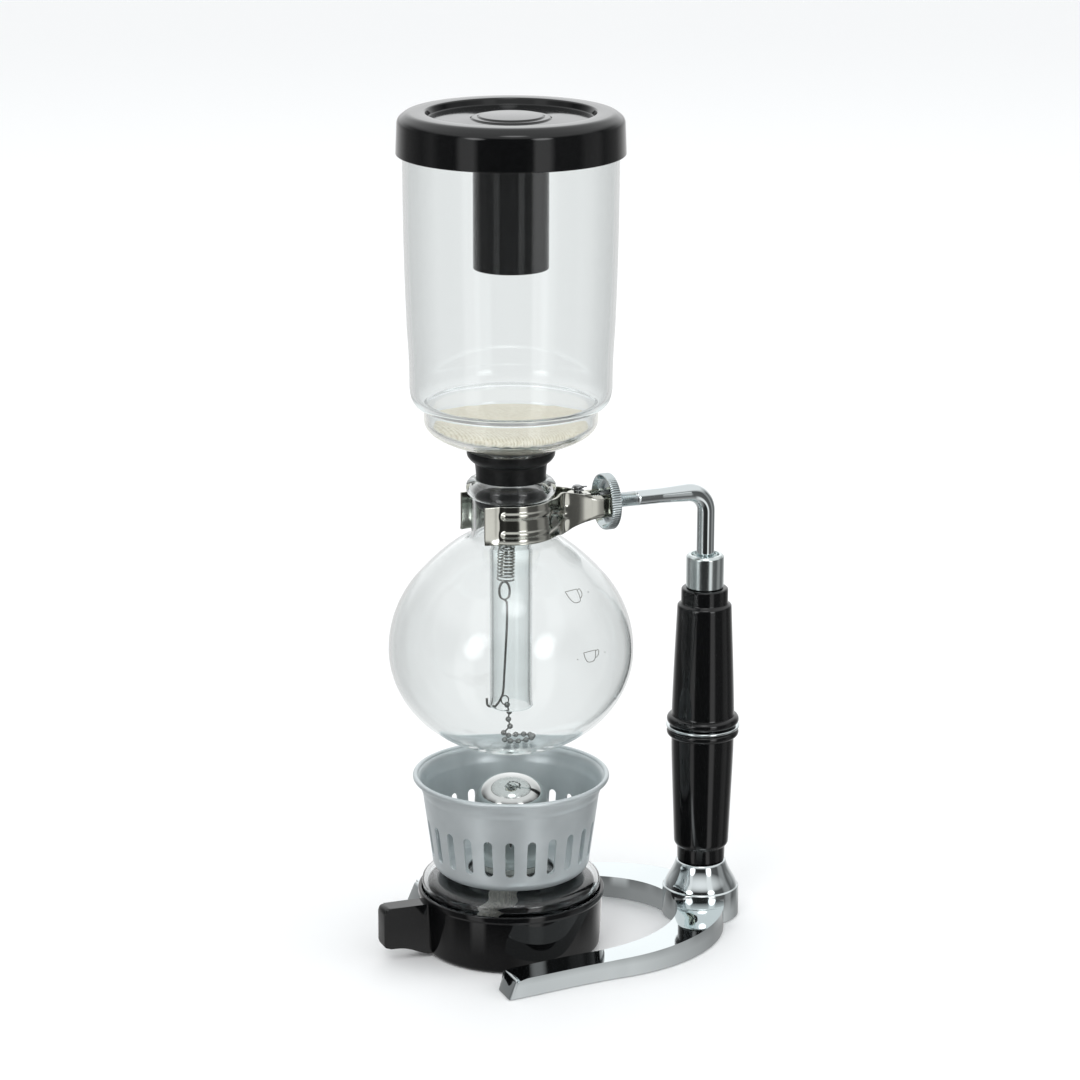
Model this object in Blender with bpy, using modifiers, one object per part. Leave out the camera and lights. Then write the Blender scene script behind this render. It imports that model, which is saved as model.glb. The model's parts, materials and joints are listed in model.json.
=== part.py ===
"""Siphon coffee maker: stand with clamp, two glass bowls, cloth filter, lid and spirit lamp.

Frame: +Z up, z = 0 on the table, the bowls' axis on the Z axis, +X towards the handle.
Outline lists are (radius, height) pairs in millimetres; MM turns them into metres.
"""
import math

import bmesh
import bpy
from mathutils import Matrix, Vector

MM = 0.001
GAP = 0.3                    # clearance between neighbouring pieces

# --- overall layout ---------------------------------------------------------------
TOTAL_H = 345.0              # top of the lid above the table
ARM_Z = 184.0                # axis of the horizontal arm
HANDLE_X = 85.8              # axis of the handle and the pedestal
PIVOT_X = 28.7               # vertical pin of the two clamp jaws

# --- globe (lower bowl) -----------------------------------------------------------
GLOBE_R = 49.5               # widest outer radius
GLOBE_MID_Z = 126.8          # height of the widest ring
GLOBE_BOTTOM_Z = 84.0
GLOBE_CROWN_H = 46.8         # height of the upper half-ellipse, cut off by the shoulder
GLOBE_NECK_R = 15.9
GLOBE_NECK_Z = 179.0         # where the neck becomes straight
GLOBE_RIM_Z = 198.0          # top of the beaded rim
GLOBE_BEAD_R = 3.8           # radius of the bead's round section
GLOBE_WALL = 1.8

# --- upper bowl -------------------------------------------------------------------
BOWL_TOP_R = 42.5
BOWL_TOP_Z = 339.4
BOWL_WAIST_R = 40.3
BOWL_LEDGE_R = 34.6          # outer radius of the small bowl that holds the filter
BOWL_WALL = 1.7
STEM_R = 8.5
STEM_WALL = 1.3
STEM_BOTTOM_Z = 102.4

# --- lid --------------------------------------------------------------------------
LID_R = 45.1
LID_SKIRT_Z = 328.6
LID_TUBE_R = 15.0
LID_TUBE_Z = 283.3           # open lower end of the tube under the lid

# --- filter -----------------------------------------------------------------------
CLOTH_R = 30.7
CLOTH_TOP_Z = 222.1
PLATE_R = 27.0
SPRING_R = 3.5               # centre-line radius of the spring's coils
SPRING_BOTTOM_Z = 155.8
SPRING_TOP_Z = 215.9
SPRING_TURNS = 17
SPRING_LEAN = 2.2            # how far the hook draws the spring's foot off the axis
HOOK_ANGLE = math.radians(158.0)   # side of the stem's rim that the hook grips
BEAD_R = 1.2

# --- stand ------------------------------------------------------------------------
ROD_R = 3.1
ROD_UPRIGHT_R = 3.75
ROD_BEND_R = 8.3
ROD_START_X = 24.6
ROD_FOOT_Z = 6.0
GRIP_BORE_R = ROD_UPRIGHT_R + GAP
BASE_H = 8.0                 # height of the base at its open ends
BASE_NOSE_H = 10.0           # height of the base at the pedestal
BASE_BEVEL = 1.0
PEDESTAL_R = 16.0

# --- clamp ------------------------------------------------------------------------
BAND_R = 16.8                # middle of the jaw's sheet where it hugs the neck
BAND_TOP_Z = 190.3
BAND_LOW_Z = 174.9
JAW_SHEET = 1.1
PIN_R = 1.3
WHEEL_R = 11.5
WHEEL_X0 = 39.5
WHEEL_X1 = 43.8
KNURLS = 36

# --- lamp -------------------------------------------------------------------------
HOLDER_R = 38.2
HOLDER_TOP_Z = 24.7
HOLDER_FOOT_R = 36.1
LUG_TIP_X = -56.8
LUG_W = 7.6
LUG_Z0 = 5.2
LUG_Z1 = 23.0
FONT_R = 36.0
SHIELD_RIM_R = 40.1
SHIELD_RIM_Z = 73.2
SLOTS = 24
SLOT_W = 3.6
SLOT_Z0 = 39.8
SLOT_Z1 = 55.6
CAP_SKIRT_R = 14.9
CAP_SHOULDER_Z = 61.4        # where the skirt turns into the dome
CAP_TOP_Z = 72.6

# --- mesh density -----------------------------------------------------------------
FINE = 32                    # steps round the bowls, the lid and the lamp holder
MEDIUM = 26
COARSE = 20


# ==================================================================================
# helpers
# ==================================================================================

def clear_scene():
    for item in list(bpy.data.objects):
        bpy.data.objects.remove(item, do_unlink=True)


def new_collection(name):
    group = bpy.data.collections.new(name)
    bpy.context.scene.collection.children.link(group)
    return group


def material(name, color, roughness, metallic=0.0, alpha=1.0):
    made = bpy.data.materials.new(name)
    made.use_nodes = True
    shader = made.node_tree.nodes["Principled BSDF"]
    shader.inputs["Base Color"].default_value = (*color, 1.0)
    shader.inputs["Roughness"].default_value = roughness
    shader.inputs["Metallic"].default_value = metallic
    shader.inputs["Alpha"].default_value = alpha
    return made


def glass(name):
    made = material(name, (0.92, 0.96, 0.96), 0.02, alpha=0.3)
    made.node_tree.nodes["Principled BSDF"].inputs["Transmission Weight"].default_value = 1.0
    return made


def chrome(name):
    return material(name, (0.80, 0.82, 0.83), 0.08, 1.0)


def steel(name):
    return material(name, (0.56, 0.58, 0.57), 0.25, 1.0)


def black_plastic(name):
    return material(name, (0.012, 0.013, 0.014), 0.12)


def finish(thing, look):
    """Give a piece its material and smooth shading with crisp edges."""
    thing.data.materials.clear()
    thing.data.materials.append(look)
    if thing.type == "MESH" and len(thing.data.polygons):
        thing.data.shade_smooth()
        thing.data.set_sharp_from_angle(angle=math.radians(35))
    return thing


def add_object(name, data, group):
    thing = bpy.data.objects.new(name, data)
    group.objects.link(thing)
    return thing


def arc(cx, cz, radius, start, stop, count):
    """Points on a circle round (cx, cz), from angle start to stop in degrees."""
    points = []
    for i in range(count + 1):
        angle = math.radians(start + (stop - start) * i / count)
        points.append((cx + radius * math.cos(angle), cz + radius * math.sin(angle)))
    return points


def ellipse(a, b, cz, start, stop, count):
    """Points on an axis-centred ellipse of half-width a and half-height b."""
    points = []
    for i in range(count + 1):
        angle = math.radians(start + (stop - start) * i / count)
        points.append((a * math.cos(angle), cz + b * math.sin(angle)))
    return points


def bezier(p0, p1, p2, p3, count):
    """Points on a cubic curve, both ends included."""
    points = []
    for i in range(count + 1):
        t = i / count
        s = 1.0 - t
        weights = (s * s * s, 3 * s * s * t, 3 * s * t * t, t * t * t)
        r = sum(w * p[0] for w, p in zip(weights, (p0, p1, p2, p3)))
        z = sum(w * p[1] for w, p in zip(weights, (p0, p1, p2, p3)))
        points.append((r, z))
    return points


def turned(name, outline, steps, group):
    """A turned solid. The outline runs down the outer side; ends at r = 0 close on the axis."""
    on_axis = outline[0][0] == 0.0 and outline[-1][0] == 0.0
    shape = bmesh.new()
    corners = [shape.verts.new((r * MM, 0.0, z * MM)) for r, z in outline]
    for a, b in zip(corners, corners[1:]):
        shape.edges.new((a, b))
    if not on_axis:
        shape.edges.new((corners[-1], corners[0]))
    data = bpy.data.meshes.new(name)
    shape.to_mesh(data)
    shape.free()
    thing = add_object(name, data, group)
    screw = thing.modifiers.new("turn", "SCREW")
    screw.steps = steps
    screw.render_steps = steps
    screw.use_merge_vertices = True
    screw.merge_threshold = 0.00001
    return thing


def baked(source, name, group):
    """Replace an object by a plain mesh of its evaluated shape, welded and facing out."""
    bpy.context.view_layer.update()
    graph = bpy.context.evaluated_depsgraph_get()
    data = bpy.data.meshes.new_from_object(source.evaluated_get(graph))
    data.transform(source.matrix_world)
    bpy.data.objects.remove(source, do_unlink=True)
    shape = bmesh.new()
    shape.from_mesh(data)
    bmesh.ops.remove_doubles(shape, verts=shape.verts, dist=0.000002)
    bmesh.ops.recalc_face_normals(shape, faces=shape.faces)
    shape.to_mesh(data)
    shape.free()
    return add_object(name, data, group)


def move_origin(thing, place):
    """Put an unmoved mesh object's origin at a point in millimetres, such as its pivot."""
    origin = Vector(place) * MM
    thing.data.transform(Matrix.Translation(-origin))
    thing.location = origin
    return thing


def tube(name, points, radii, sides, group):
    """A wire or rod along a line of points in millimetres, as a capped poly curve."""
    path = bpy.data.curves.new(name, "CURVE")
    path.dimensions = "3D"
    path.bevel_depth = MM
    path.bevel_resolution = sides
    path.use_fill_caps = True
    line = path.splines.new("POLY")
    line.points.add(len(points) - 1)
    for slot, place, radius in zip(line.points, points, radii):
        slot.co = (place[0] * MM, place[1] * MM, place[2] * MM, 1.0)
        slot.radius = radius
    return add_object(name, path, group)


def plate_curve(name, outline, z0, z1, group):
    """A flat outline in millimetres, extruded from z0 to z1."""
    path = bpy.data.curves.new(name, "CURVE")
    path.dimensions = "2D"
    path.fill_mode = "BOTH"
    path.extrude = (z1 - z0) / 2 * MM
    line = path.splines.new("POLY")
    line.points.add(len(outline) - 1)
    for slot, place in zip(line.points, outline):
        slot.co = (place[0] * MM, place[1] * MM, 0.0, 1.0)
    line.use_cyclic_u = True
    thing = add_object(name, path, group)
    thing.location.z = (z0 + z1) / 2 * MM
    return thing


def box(name, low, high, group):
    shape = bmesh.new()
    bmesh.ops.create_cube(shape, size=1.0)
    for vert in shape.verts:
        for k in range(3):
            vert.co[k] = (low[k] + (vert.co[k] + 0.5) * (high[k] - low[k])) * MM
    data = bpy.data.meshes.new(name)
    shape.to_mesh(data)
    shape.free()
    return add_object(name, data, group)


def rod_between(name, low, high, radius, sides, group):
    """A plain cylinder between two points in millimetres."""
    a = Vector(low) * MM
    b = Vector(high) * MM
    shape = bmesh.new()
    bmesh.ops.create_cone(
        shape, cap_ends=True, segments=sides,
        radius1=radius * MM, radius2=radius * MM, depth=(b - a).length,
    )
    turn = Vector((0, 0, 1)).rotation_difference(b - a).to_matrix().to_4x4()
    bmesh.ops.transform(shape, matrix=Matrix.Translation((a + b) / 2) @ turn, verts=shape.verts)
    data = bpy.data.meshes.new(name)
    shape.to_mesh(data)
    shape.free()
    return add_object(name, data, group)


def cut(thing, cutter, operation="DIFFERENCE"):
    cutter.hide_render = True
    cutter.display_type = "WIRE"
    step = thing.modifiers.new(operation.lower(), "BOOLEAN")
    step.operation = operation
    step.object = cutter
    step.solver = "EXACT"
    return thing


# ==================================================================================
# glass bowls
# ==================================================================================

def globe_side(wall):
    """One side of the globe's wall, from the straight neck down to the axis."""
    hand_over = math.radians(42)
    width = GLOBE_R - wall
    height = GLOBE_CROWN_H - wall
    depth = GLOBE_MID_Z - GLOBE_BOTTOM_Z - wall
    neck = GLOBE_NECK_R - wall
    fold = (18.8 - wall * 0.6, 173.2 - wall * 0.9)
    place = (width * math.cos(hand_over), GLOBE_MID_Z + height * math.sin(hand_over))
    side = bezier((neck, GLOBE_NECK_Z), (neck, 174.6), (neck + 0.4, 174.2 - wall * 0.7), fold, 3)
    side += bezier(
        fold, (22.6 - wall * 0.6, 172.0 - wall * 0.9), (31.8 - wall * 0.7, 164.0 - wall * 0.7), place, 4,
    )[1:]
    side += ellipse(width, height, GLOBE_MID_Z, 42, 0, 4)[1:]
    side += ellipse(width, depth, GLOBE_MID_Z, 0, -90, 6)[1:-1]
    side.append((0.0, GLOBE_MID_Z - depth))
    return side


def build_globe(parts):
    """Round flask with a straight neck and a beaded rim."""
    bead_z = GLOBE_RIM_Z - GLOBE_BEAD_R
    neck_in = GLOBE_NECK_R - GLOBE_WALL
    inner = list(reversed(globe_side(GLOBE_WALL)))
    mouth = [(neck_in, bead_z + 2.6), (neck_in + 0.1, GLOBE_RIM_Z - 0.2)]
    bead = arc(14.3, bead_z, GLOBE_BEAD_R, 85, -65, 5)
    thing = turned("globe", inner + mouth + bead + globe_side(0.0), FINE, parts)
    return finish(thing, glass("globe_glass"))


def bowl_side(wall):
    """One side of the upper bowl's wall, from its rim down to the top of the stem."""
    side = [(BOWL_TOP_R - wall, BOWL_TOP_Z), (BOWL_TOP_R - wall, 302.0)]
    side += [(41.2 - wall, 266.0), (BOWL_WAIST_R - wall, 246.0)]
    side += bezier(
        (BOWL_WAIST_R - wall, 237.5), (BOWL_WAIST_R - wall, 230.8 + wall * 0.5),
        (38.7 - wall * 0.8, 228.5 + wall), (35.6 - wall * 0.7, 227.7 + wall), 4,
    )
    side += [(BOWL_LEDGE_R - wall, 226.6 + wall * 0.3)]
    side += bezier(
        (BOWL_LEDGE_R - wall, 222.8), (BOWL_LEDGE_R - wall, 216.9 + wall * 0.8),
        (26.0 - wall * 0.3, 213.6 + wall), (17.0, 210.7 + wall), 4,
    )
    return side


def build_upper_bowl(parts):
    """Cylinder with a ledge, a small bowl for the filter and a long open stem."""
    stem_in = STEM_R - STEM_WALL
    outer = bowl_side(0.0)
    outer += [(12.0, 209.1), (STEM_R + 0.6, 207.1), (STEM_R, 205.3)]
    outer += [(STEM_R, STEM_BOTTOM_Z + 6.0), (STEM_R + 0.45, STEM_BOTTOM_Z)]
    inner = bowl_side(BOWL_WALL)
    inner += [(11.4, 210.8), (stem_in + 0.7, 208.9), (stem_in, 206.7)]
    inner += [(stem_in, STEM_BOTTOM_Z + 6.0), (stem_in + 0.45, STEM_BOTTOM_Z)]
    thing = turned("upper_bowl", outer + list(reversed(inner)), FINE, parts)
    return finish(thing, glass("upper_bowl_glass"))


def build_gasket(parts):
    """Rubber stopper on the stem: a flange under the bowl and a taper in the globe's mouth."""
    bore = STEM_R + GAP
    outline = [(17.7, 210.0), (17.7, 207.6), (16.2, 205.4), (14.6, 204.6)]
    outline += [(14.3, 202.9), (13.8, 198.2), (13.75, 188.2), (12.9, 186.4)]
    outline += [(bore, 186.4), (bore, 205.0), (11.9, 208.5)]
    thing = turned("gasket", outline, MEDIUM, parts)
    return finish(thing, material("gasket_rubber", (0.014, 0.015, 0.015), 0.55))


# ==================================================================================
# lid
# ==================================================================================

def build_lid(parts):
    """One black moulding: a dished cover, its skirt, and the tube that hangs below."""
    under = BOWL_TOP_Z + GAP
    outline = [
        (0.0, TOTAL_H - 1.8), (15.8, TOTAL_H - 1.8), (16.2, TOTAL_H - 2.6), (33.0, TOTAL_H - 2.6),
        (33.4, TOTAL_H), (40.8, TOTAL_H), (43.2, TOTAL_H - 0.9), (44.45, TOTAL_H - 2.6),
        (LID_R, LID_SKIRT_Z), (LID_R - 1.7, LID_SKIRT_Z), (LID_R - 2.2, under),
        (LID_TUBE_R + 0.6, under), (LID_TUBE_R, under - 1.0), (LID_TUBE_R, LID_TUBE_Z),
        (LID_TUBE_R - 1.6, LID_TUBE_Z), (LID_TUBE_R - 1.6, under), (0.0, under),
    ]
    return finish(turned("lid", outline, FINE, parts), black_plastic("lid_plastic"))


# ==================================================================================
# filter
# ==================================================================================

def build_filter_cloth(parts):
    """Cloth pouch drawn over the plate and open underneath."""
    top = CLOTH_TOP_Z
    outline = [
        (0.0, top), (26.8, top), (29.6, top - 0.7), (CLOTH_R, top - 2.3), (28.2, top - 4.9),
        (16.0, top - 7.0), (16.0, top - 6.3), (27.8, top - 4.2), (29.9, top - 2.3),
        (29.2, top - 1.3), (26.6, top - 0.7), (0.0, top - 0.7),
    ]
    thing = turned("filter_cloth", outline, MEDIUM, parts)
    return finish(thing, material("filter_cloth", (0.62, 0.56, 0.46), 0.9))


def build_filter_plate(parts, cutters):
    """Perforated disc with a raised centre, held inside the cloth."""
    outline = [(PLATE_R, 219.5), (PLATE_R, 218.7), (2.8, 218.7), (2.8, 219.5)]
    thing = turned("filter_plate", outline, MEDIUM, parts)
    holes = bmesh.new()
    for ring_r, count in ((9.0, 6), (18.0, 12)):
        for i in range(count):
            turn = 2 * math.pi * i / count
            centre = Vector((ring_r * math.cos(turn), ring_r * math.sin(turn), 219.1)) * MM
            bmesh.ops.create_cone(
                holes, cap_ends=True, segments=6, radius1=1.8 * MM, radius2=1.8 * MM,
                depth=3.0 * MM, matrix=Matrix.Translation(centre),
            )
    data = bpy.data.meshes.new("plate_holes")
    holes.to_mesh(data)
    holes.free()
    cut(thing, add_object("plate_holes", data, cutters))
    return finish(thing, steel("filter_plate_steel"))


def build_filter_stud(parts):
    """Rivet through the plate's centre, with a tail that carries the spring."""
    outline = [
        (0.0, 220.7), (4.2, 220.7), (4.2, 219.8), (2.4, 219.8), (2.4, 218.4), (4.2, 218.4),
        (4.2, 217.5), (1.5, 217.3), (1.5, 213.1), (0.0, 213.1),
    ]
    return finish(turned("filter_stud", outline, 16, parts), steel("filter_stud_steel"))


def build_drawstring(parts):
    outline = arc(15.2, CLOTH_TOP_Z - 6.7, 0.5, 90, -270, 6)[:-1]
    thing = turned("filter_drawstring", outline, COARSE, parts)
    return finish(thing, material("drawstring_cotton", (0.70, 0.66, 0.58), 0.9))


def hook_side():
    """Direction from the axis to the side of the stem's rim that the hook grips."""
    return Vector((math.cos(HOOK_ANGLE), math.sin(HOOK_ANGLE), 0.0))


def build_filter_spring(parts):
    """Tension spring that hangs from the stud inside the stem, drawn aside by the hook."""
    per_turn = 8
    count = SPRING_TURNS * per_turn
    points = []
    for i in range(count + 1):
        turn = 2 * math.pi * i / per_turn
        height = SPRING_TOP_Z + (SPRING_BOTTOM_Z - SPRING_TOP_Z) * i / count
        centre = hook_side() * SPRING_LEAN * i / count
        points.append((
            centre.x + SPRING_R * math.cos(turn), centre.y + SPRING_R * math.sin(turn), height,
        ))
    thing = tube("filter_spring", points, [0.35] * len(points), 0, parts)
    return finish(baked(thing, "filter_spring", parts), steel("spring_steel"))


def build_hook_wire(parts):
    """Wire from the spring's foot down the stem and round the stem's lower rim."""
    rim_r = STEM_R + 0.45 - STEM_WALL / 2
    bend_z = STEM_BOTTOM_Z + 0.65
    path = [(2.2, 154.8), (1.5, 148.0), (1.7, 140.0), (2.5, 122.0), (3.2, 109.5), (4.2, 104.6)]
    path += [(5.5, 102.3)]
    path += arc(rim_r, bend_z, 1.45, 215, 360, 5)
    path += [(rim_r + 1.5, bend_z + 2.2)]
    side = hook_side()
    points = [(d * side.x, d * side.y, z) for d, z in path]
    thing = tube("hook_wire", points, [0.45] * len(points), 2, parts)
    return finish(baked(thing, "hook_wire", parts), steel("hook_steel"))


def chain_centres():
    """Bead centres: down from the hook, then one loose loop on the floor of the globe."""
    side = hook_side()
    across = Vector((side.y, -side.x, 0.0))
    centres = []
    for d, z in ((1.6, 102.6), (0.7, 99.4), (1.1, 96.1), (0.4, 93.0)):
        centres.append(side * d + Vector((0.0, 0.0, z)))
    middle = side * -2.8
    for i in range(11):
        turn = math.radians(20 + 31 * i)
        spot = middle + side * 6.2 * math.cos(turn) + across * 4.2 * math.sin(turn)
        spot.z = 87.5 + 0.012 * (spot.x ** 2 + spot.y ** 2) + (1.9 if i == 0 else 0.0)
        centres.append(spot)
    return centres


def build_ball_chain(parts):
    """Beads and their links in one piece, thick at each bead and thin between."""
    centres = chain_centres()
    points = []
    radii = []
    for a, b in zip(centres, centres[1:]):
        points += [a, (a + b) / 2]
        radii += [BEAD_R, 0.4]
    points.append(centres[-1])
    radii.append(BEAD_R)
    thing = tube("ball_chain", points, radii, 1, parts)
    return finish(baked(thing, "ball_chain", parts), steel("chain_steel"))


# ==================================================================================
# stand
# ==================================================================================

def base_outline():
    """Horseshoe, open towards -X: half ellipses round the nose and nearly straight arms."""
    outer = [(-24.3, -59.0)]
    for i in range(13):
        angle = math.radians(-90 + 180 * i / 12)
        outer.append((28.0 + 64.0 * math.cos(angle), 54.0 * math.sin(angle)))
    outer.append((-24.3, 59.0))
    inner = [(-24.3, 46.6)]
    for i in range(11):
        angle = math.radians(90 - 180 * i / 10)
        inner.append((20.0 + 52.0 * math.cos(angle), 42.0 * math.sin(angle)))
    inner.append((-24.3, -46.6))
    return outer + inner


def shape_base_top(thing):
    """Raise the top towards the nose, lean the open ends back and bevel the upper edges."""
    shape = bmesh.new()
    shape.from_mesh(thing.data)
    bmesh.ops.dissolve_limit(
        shape, angle_limit=0.001, verts=shape.verts, edges=shape.edges,
    )
    for vert in shape.verts:
        if vert.co.z > 0.0:
            share = min(max((vert.co.x / MM - 20.0) / 60.0, 0.0), 1.0)
            vert.co.z += (BASE_NOSE_H - BASE_H) * share * MM
            if vert.co.x < -20.0 * MM:
                vert.co.x += 3.5 * MM
    upper = [e for e in shape.edges if all(v.co.z > 0.0 for v in e.verts)]
    bmesh.ops.bevel(
        shape, geom=upper, offset=BASE_BEVEL * MM, segments=1, affect="EDGES",
    )
    shape.to_mesh(thing.data)
    shape.free()


def build_base(parts, cutters):
    """Chromed horseshoe foot with the pedestal that takes the handle."""
    flat = plate_curve("base_flat", base_outline(), 0.0, BASE_H, parts)
    thing = baked(flat, "base", parts)
    shape_base_top(thing)
    pedestal = [(0.0, 24.2), (9.9, 24.2), (10.6, 23.6)]
    pedestal += bezier((10.9, 22.4), (12.0, 18.6), (14.6, 16.2), (15.5, 13.4), 5)
    pedestal += [(PEDESTAL_R, 12.6), (PEDESTAL_R, 0.0), (0.0, 0.0)]
    bell = turned("pedestal_bell", pedestal, MEDIUM, cutters)
    bell.location.x = HANDLE_X * MM
    cut(thing, bell, "UNION")
    socket = turned(
        "socket", [(0.0, 30.0), (GRIP_BORE_R, 30.0), (GRIP_BORE_R, 5.7), (2.2, 5.7), (2.2, 3.0),
                   (4.6, 3.0), (4.6, -1.0), (0.0, -1.0)], COARSE, cutters,
    )
    socket.location.x = HANDLE_X * MM
    cut(thing, socket)
    return finish(thing, chrome("base_chrome"))


def build_base_screw(parts):
    outline = [(0.0, 15.0), (1.9, 15.0), (1.9, 2.6), (4.2, 2.6), (4.2, 0.6), (0.0, 0.6)]
    thing = turned("base_screw", outline, 16, parts)
    thing.location.x = HANDLE_X * MM
    return finish(thing, steel("base_screw_steel"))


def build_support_arm(parts, cutters):
    """One bent rod: an eye for the jaws' pin, a thread, a bend, and the upright in the handle."""
    corner_x = HANDLE_X - ROD_BEND_R
    corner_z = ARM_Z - ROD_BEND_R
    path = [(ROD_START_X, ARM_Z, 2.8), (33.0, ARM_Z, 2.8), (34.0, ARM_Z, ROD_R)]
    path += [(68.0, ARM_Z, ROD_R)]
    for i in range(7):
        angle = math.radians(90 - 90 * i / 6)
        path.append((
            corner_x + ROD_BEND_R * math.cos(angle), corner_z + ROD_BEND_R * math.sin(angle),
            ROD_R + (ROD_UPRIGHT_R - ROD_R) * i / 6,
        ))
    path.append((HANDLE_X, ROD_FOOT_Z, ROD_UPRIGHT_R))
    points = [(x, 0.0, z) for x, z, _ in path]
    thing = baked(tube("arm_path", points, [p[2] for p in path], 5, parts), "support_arm", parts)
    cut(thing, rod_between("eye_hole", (PIVOT_X, 0, 170), (PIVOT_X, 0, 198), 1.6, 12, cutters))
    cut(thing, rod_between("foot_hole", (HANDLE_X, 0, 0), (HANDLE_X, 0, 16), 2.2, 12, cutters))
    return finish(thing, chrome("arm_chrome"))


def build_grips(parts):
    """Ferrule, upper grip, ring and lower grip, threaded on the upright one above the other."""
    bore = GRIP_BORE_R
    ferrule = [(6.9, 157.2), (7.78, 156.4), (7.78, 143.3), (bore, 143.3), (bore, 155.6), (5.7, 157.0)]
    upper = [(8.9, 143.0), (9.66, 142.2), (9.66, 136.2), (11.2, 135.3), (13.0, 90.5), (13.2, 88.4)]
    upper += arc(12.95, 86.2, 2.0, 60, -60, 3)
    upper += [(13.6, 84.0), (bore, 84.0), (bore, 143.0)]
    ring = [(14.9, 83.85), (15.2, 83.3), (14.9, 82.75), (bore, 82.75), (bore, 83.85)]
    lower = [(13.6, 82.6)]
    lower += arc(13.2, 80.8, 1.75, 60, -60, 3)
    lower += [(12.9, 78.6), (12.85, 74.0), (11.4, 33.4), (11.0, 31.6), (10.0, 30.6), (9.8, 24.5)]
    lower += [(bore, 24.5), (bore, 82.6)]
    looks = {
        "grip_ferrule": (ferrule, chrome("ferrule_chrome")),
        "grip_upper": (upper, black_plastic("grip_upper_plastic")),
        "grip_ring": (ring, chrome("grip_ring_chrome")),
        "grip_lower": (lower, black_plastic("grip_lower_plastic")),
    }
    for name, (outline, look) in looks.items():
        thing = turned(name, outline, COARSE, parts)
        thing.location.x = HANDLE_X * MM
        finish(thing, look)


# ==================================================================================
# clamp
# ==================================================================================

def jaw_stations():
    """Along the sheet from tail to lip: x, y, outward direction, edges, curl and flare."""
    rows = [
        (42.0, -5.7, -90, 178.9, 187.8, 1.4, 0.0),
        (35.0, -5.6, -90, 178.8, 187.9, 1.1, 0.0),
        (31.8, -5.2, -90, 178.2, 188.5, 0.3, 0.0),
        (28.7, -5.0, -90, 177.4, 189.4, 0.0, 0.0),
        (24.5, -5.1, -90, 176.0, 190.4, 0.0, 0.0),
        (20.0, -5.7, -85, 173.9, 191.1, 0.0, 0.2),
        (16.4, -8.3, -58, 174.6, 190.2, 0.0, 0.6),
    ]
    for i in range(9):
        angle = -42 - 84 * i / 8
        turn = math.radians(angle)
        place = (BAND_R * math.cos(turn), BAND_R * math.sin(turn))
        rows.append((*place, angle, BAND_LOW_Z, BAND_TOP_Z, 0.0, 1.2))
    rows.append((-13.2, -13.3, -97, BAND_LOW_Z, BAND_TOP_Z, 0.0, 0.8))
    rows.append((-16.5, -12.9, -90, BAND_LOW_Z, BAND_TOP_Z, 0.0, 0.4))
    return rows


def jaw_sheet(name, parts):
    """The -Y jaw as an open grid of faces, thickened by a Solidify modifier."""
    shape = bmesh.new()
    columns = []
    for x, y, facing, low, top, curl, flare in jaw_stations():
        out = (math.cos(math.radians(facing)), math.sin(math.radians(facing)))
        middle = (low + top) / 2
        levels = [(low, flare - curl), (low + 1.6, flare * 0.6 - curl * 0.3), (low + 4.0, flare * 0.05)]
        levels += [(middle, 0.0), (top - 1.6, -curl * 0.3), (top, -curl)]
        column = []
        for z, push in levels:
            column.append(shape.verts.new(((x + out[0] * push) * MM, (y + out[1] * push) * MM, z * MM)))
        columns.append(column)
    for a, b in zip(columns, columns[1:]):
        for k in range(len(a) - 1):
            shape.faces.new((a[k], a[k + 1], b[k + 1], b[k]))
    data = bpy.data.meshes.new(name)
    shape.to_mesh(data)
    shape.free()
    thing = add_object(name, data, parts)
    sheet = thing.modifiers.new("sheet", "SOLIDIFY")
    sheet.thickness = JAW_SHEET * MM
    sheet.offset = 0.0
    return thing


def pin_tab(name, z0, z1, group):
    """Ear with a round end over the pin, reaching into the jaw's wall."""
    outline = [(x, y) for x, y in arc(0.0, 0.0, 4.0, 0, 180, 8)]
    outline += [(-4.0, -5.0), (4.0, -5.0)]
    ear = plate_curve(name + "_flat", outline, z0, z1, group)
    ear.location.x = PIVOT_X * MM
    return baked(ear, name, group)


def build_jaw(side, tab_heights, parts, cutters):
    """side is 'front' (-Y) or 'back' (+Y); the back jaw is the mirror image with nested ears."""
    name = "clamp_jaw_" + side
    thing = jaw_sheet(name + "_sheet", parts)
    for i, (z0, z1) in enumerate(tab_heights):
        cut(thing, pin_tab(f"{name}_tab_{i}", z0, z1, cutters), "UNION")
    hole = rod_between(name + "_hole", (PIVOT_X, 0, 170), (PIVOT_X, 0, 198), 1.6, 12, cutters)
    cut(thing, hole)
    solid = baked(thing, name, parts)
    if side == "back":
        flip = bmesh.new()
        flip.from_mesh(solid.data)
        for vert in flip.verts:
            vert.co.y = -vert.co.y
        bmesh.ops.reverse_faces(flip, faces=flip.faces)
        flip.to_mesh(solid.data)
        flip.free()
    move_origin(solid, (PIVOT_X, 0.0, ARM_Z))
    return finish(solid, steel(name + "_steel"))


def build_clamp_pin(parts):
    outline = [
        (0.0, 192.1), (1.7, 192.1), (2.0, 191.4), (PIN_R, 191.3), (PIN_R, 177.7), (2.4, 177.6),
        (2.4, 176.8), (0.0, 176.8),
    ]
    thing = turned("clamp_pin", outline, 16, parts)
    thing.location.x = PIVOT_X * MM
    return finish(thing, steel("clamp_pin_steel"))


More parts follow.
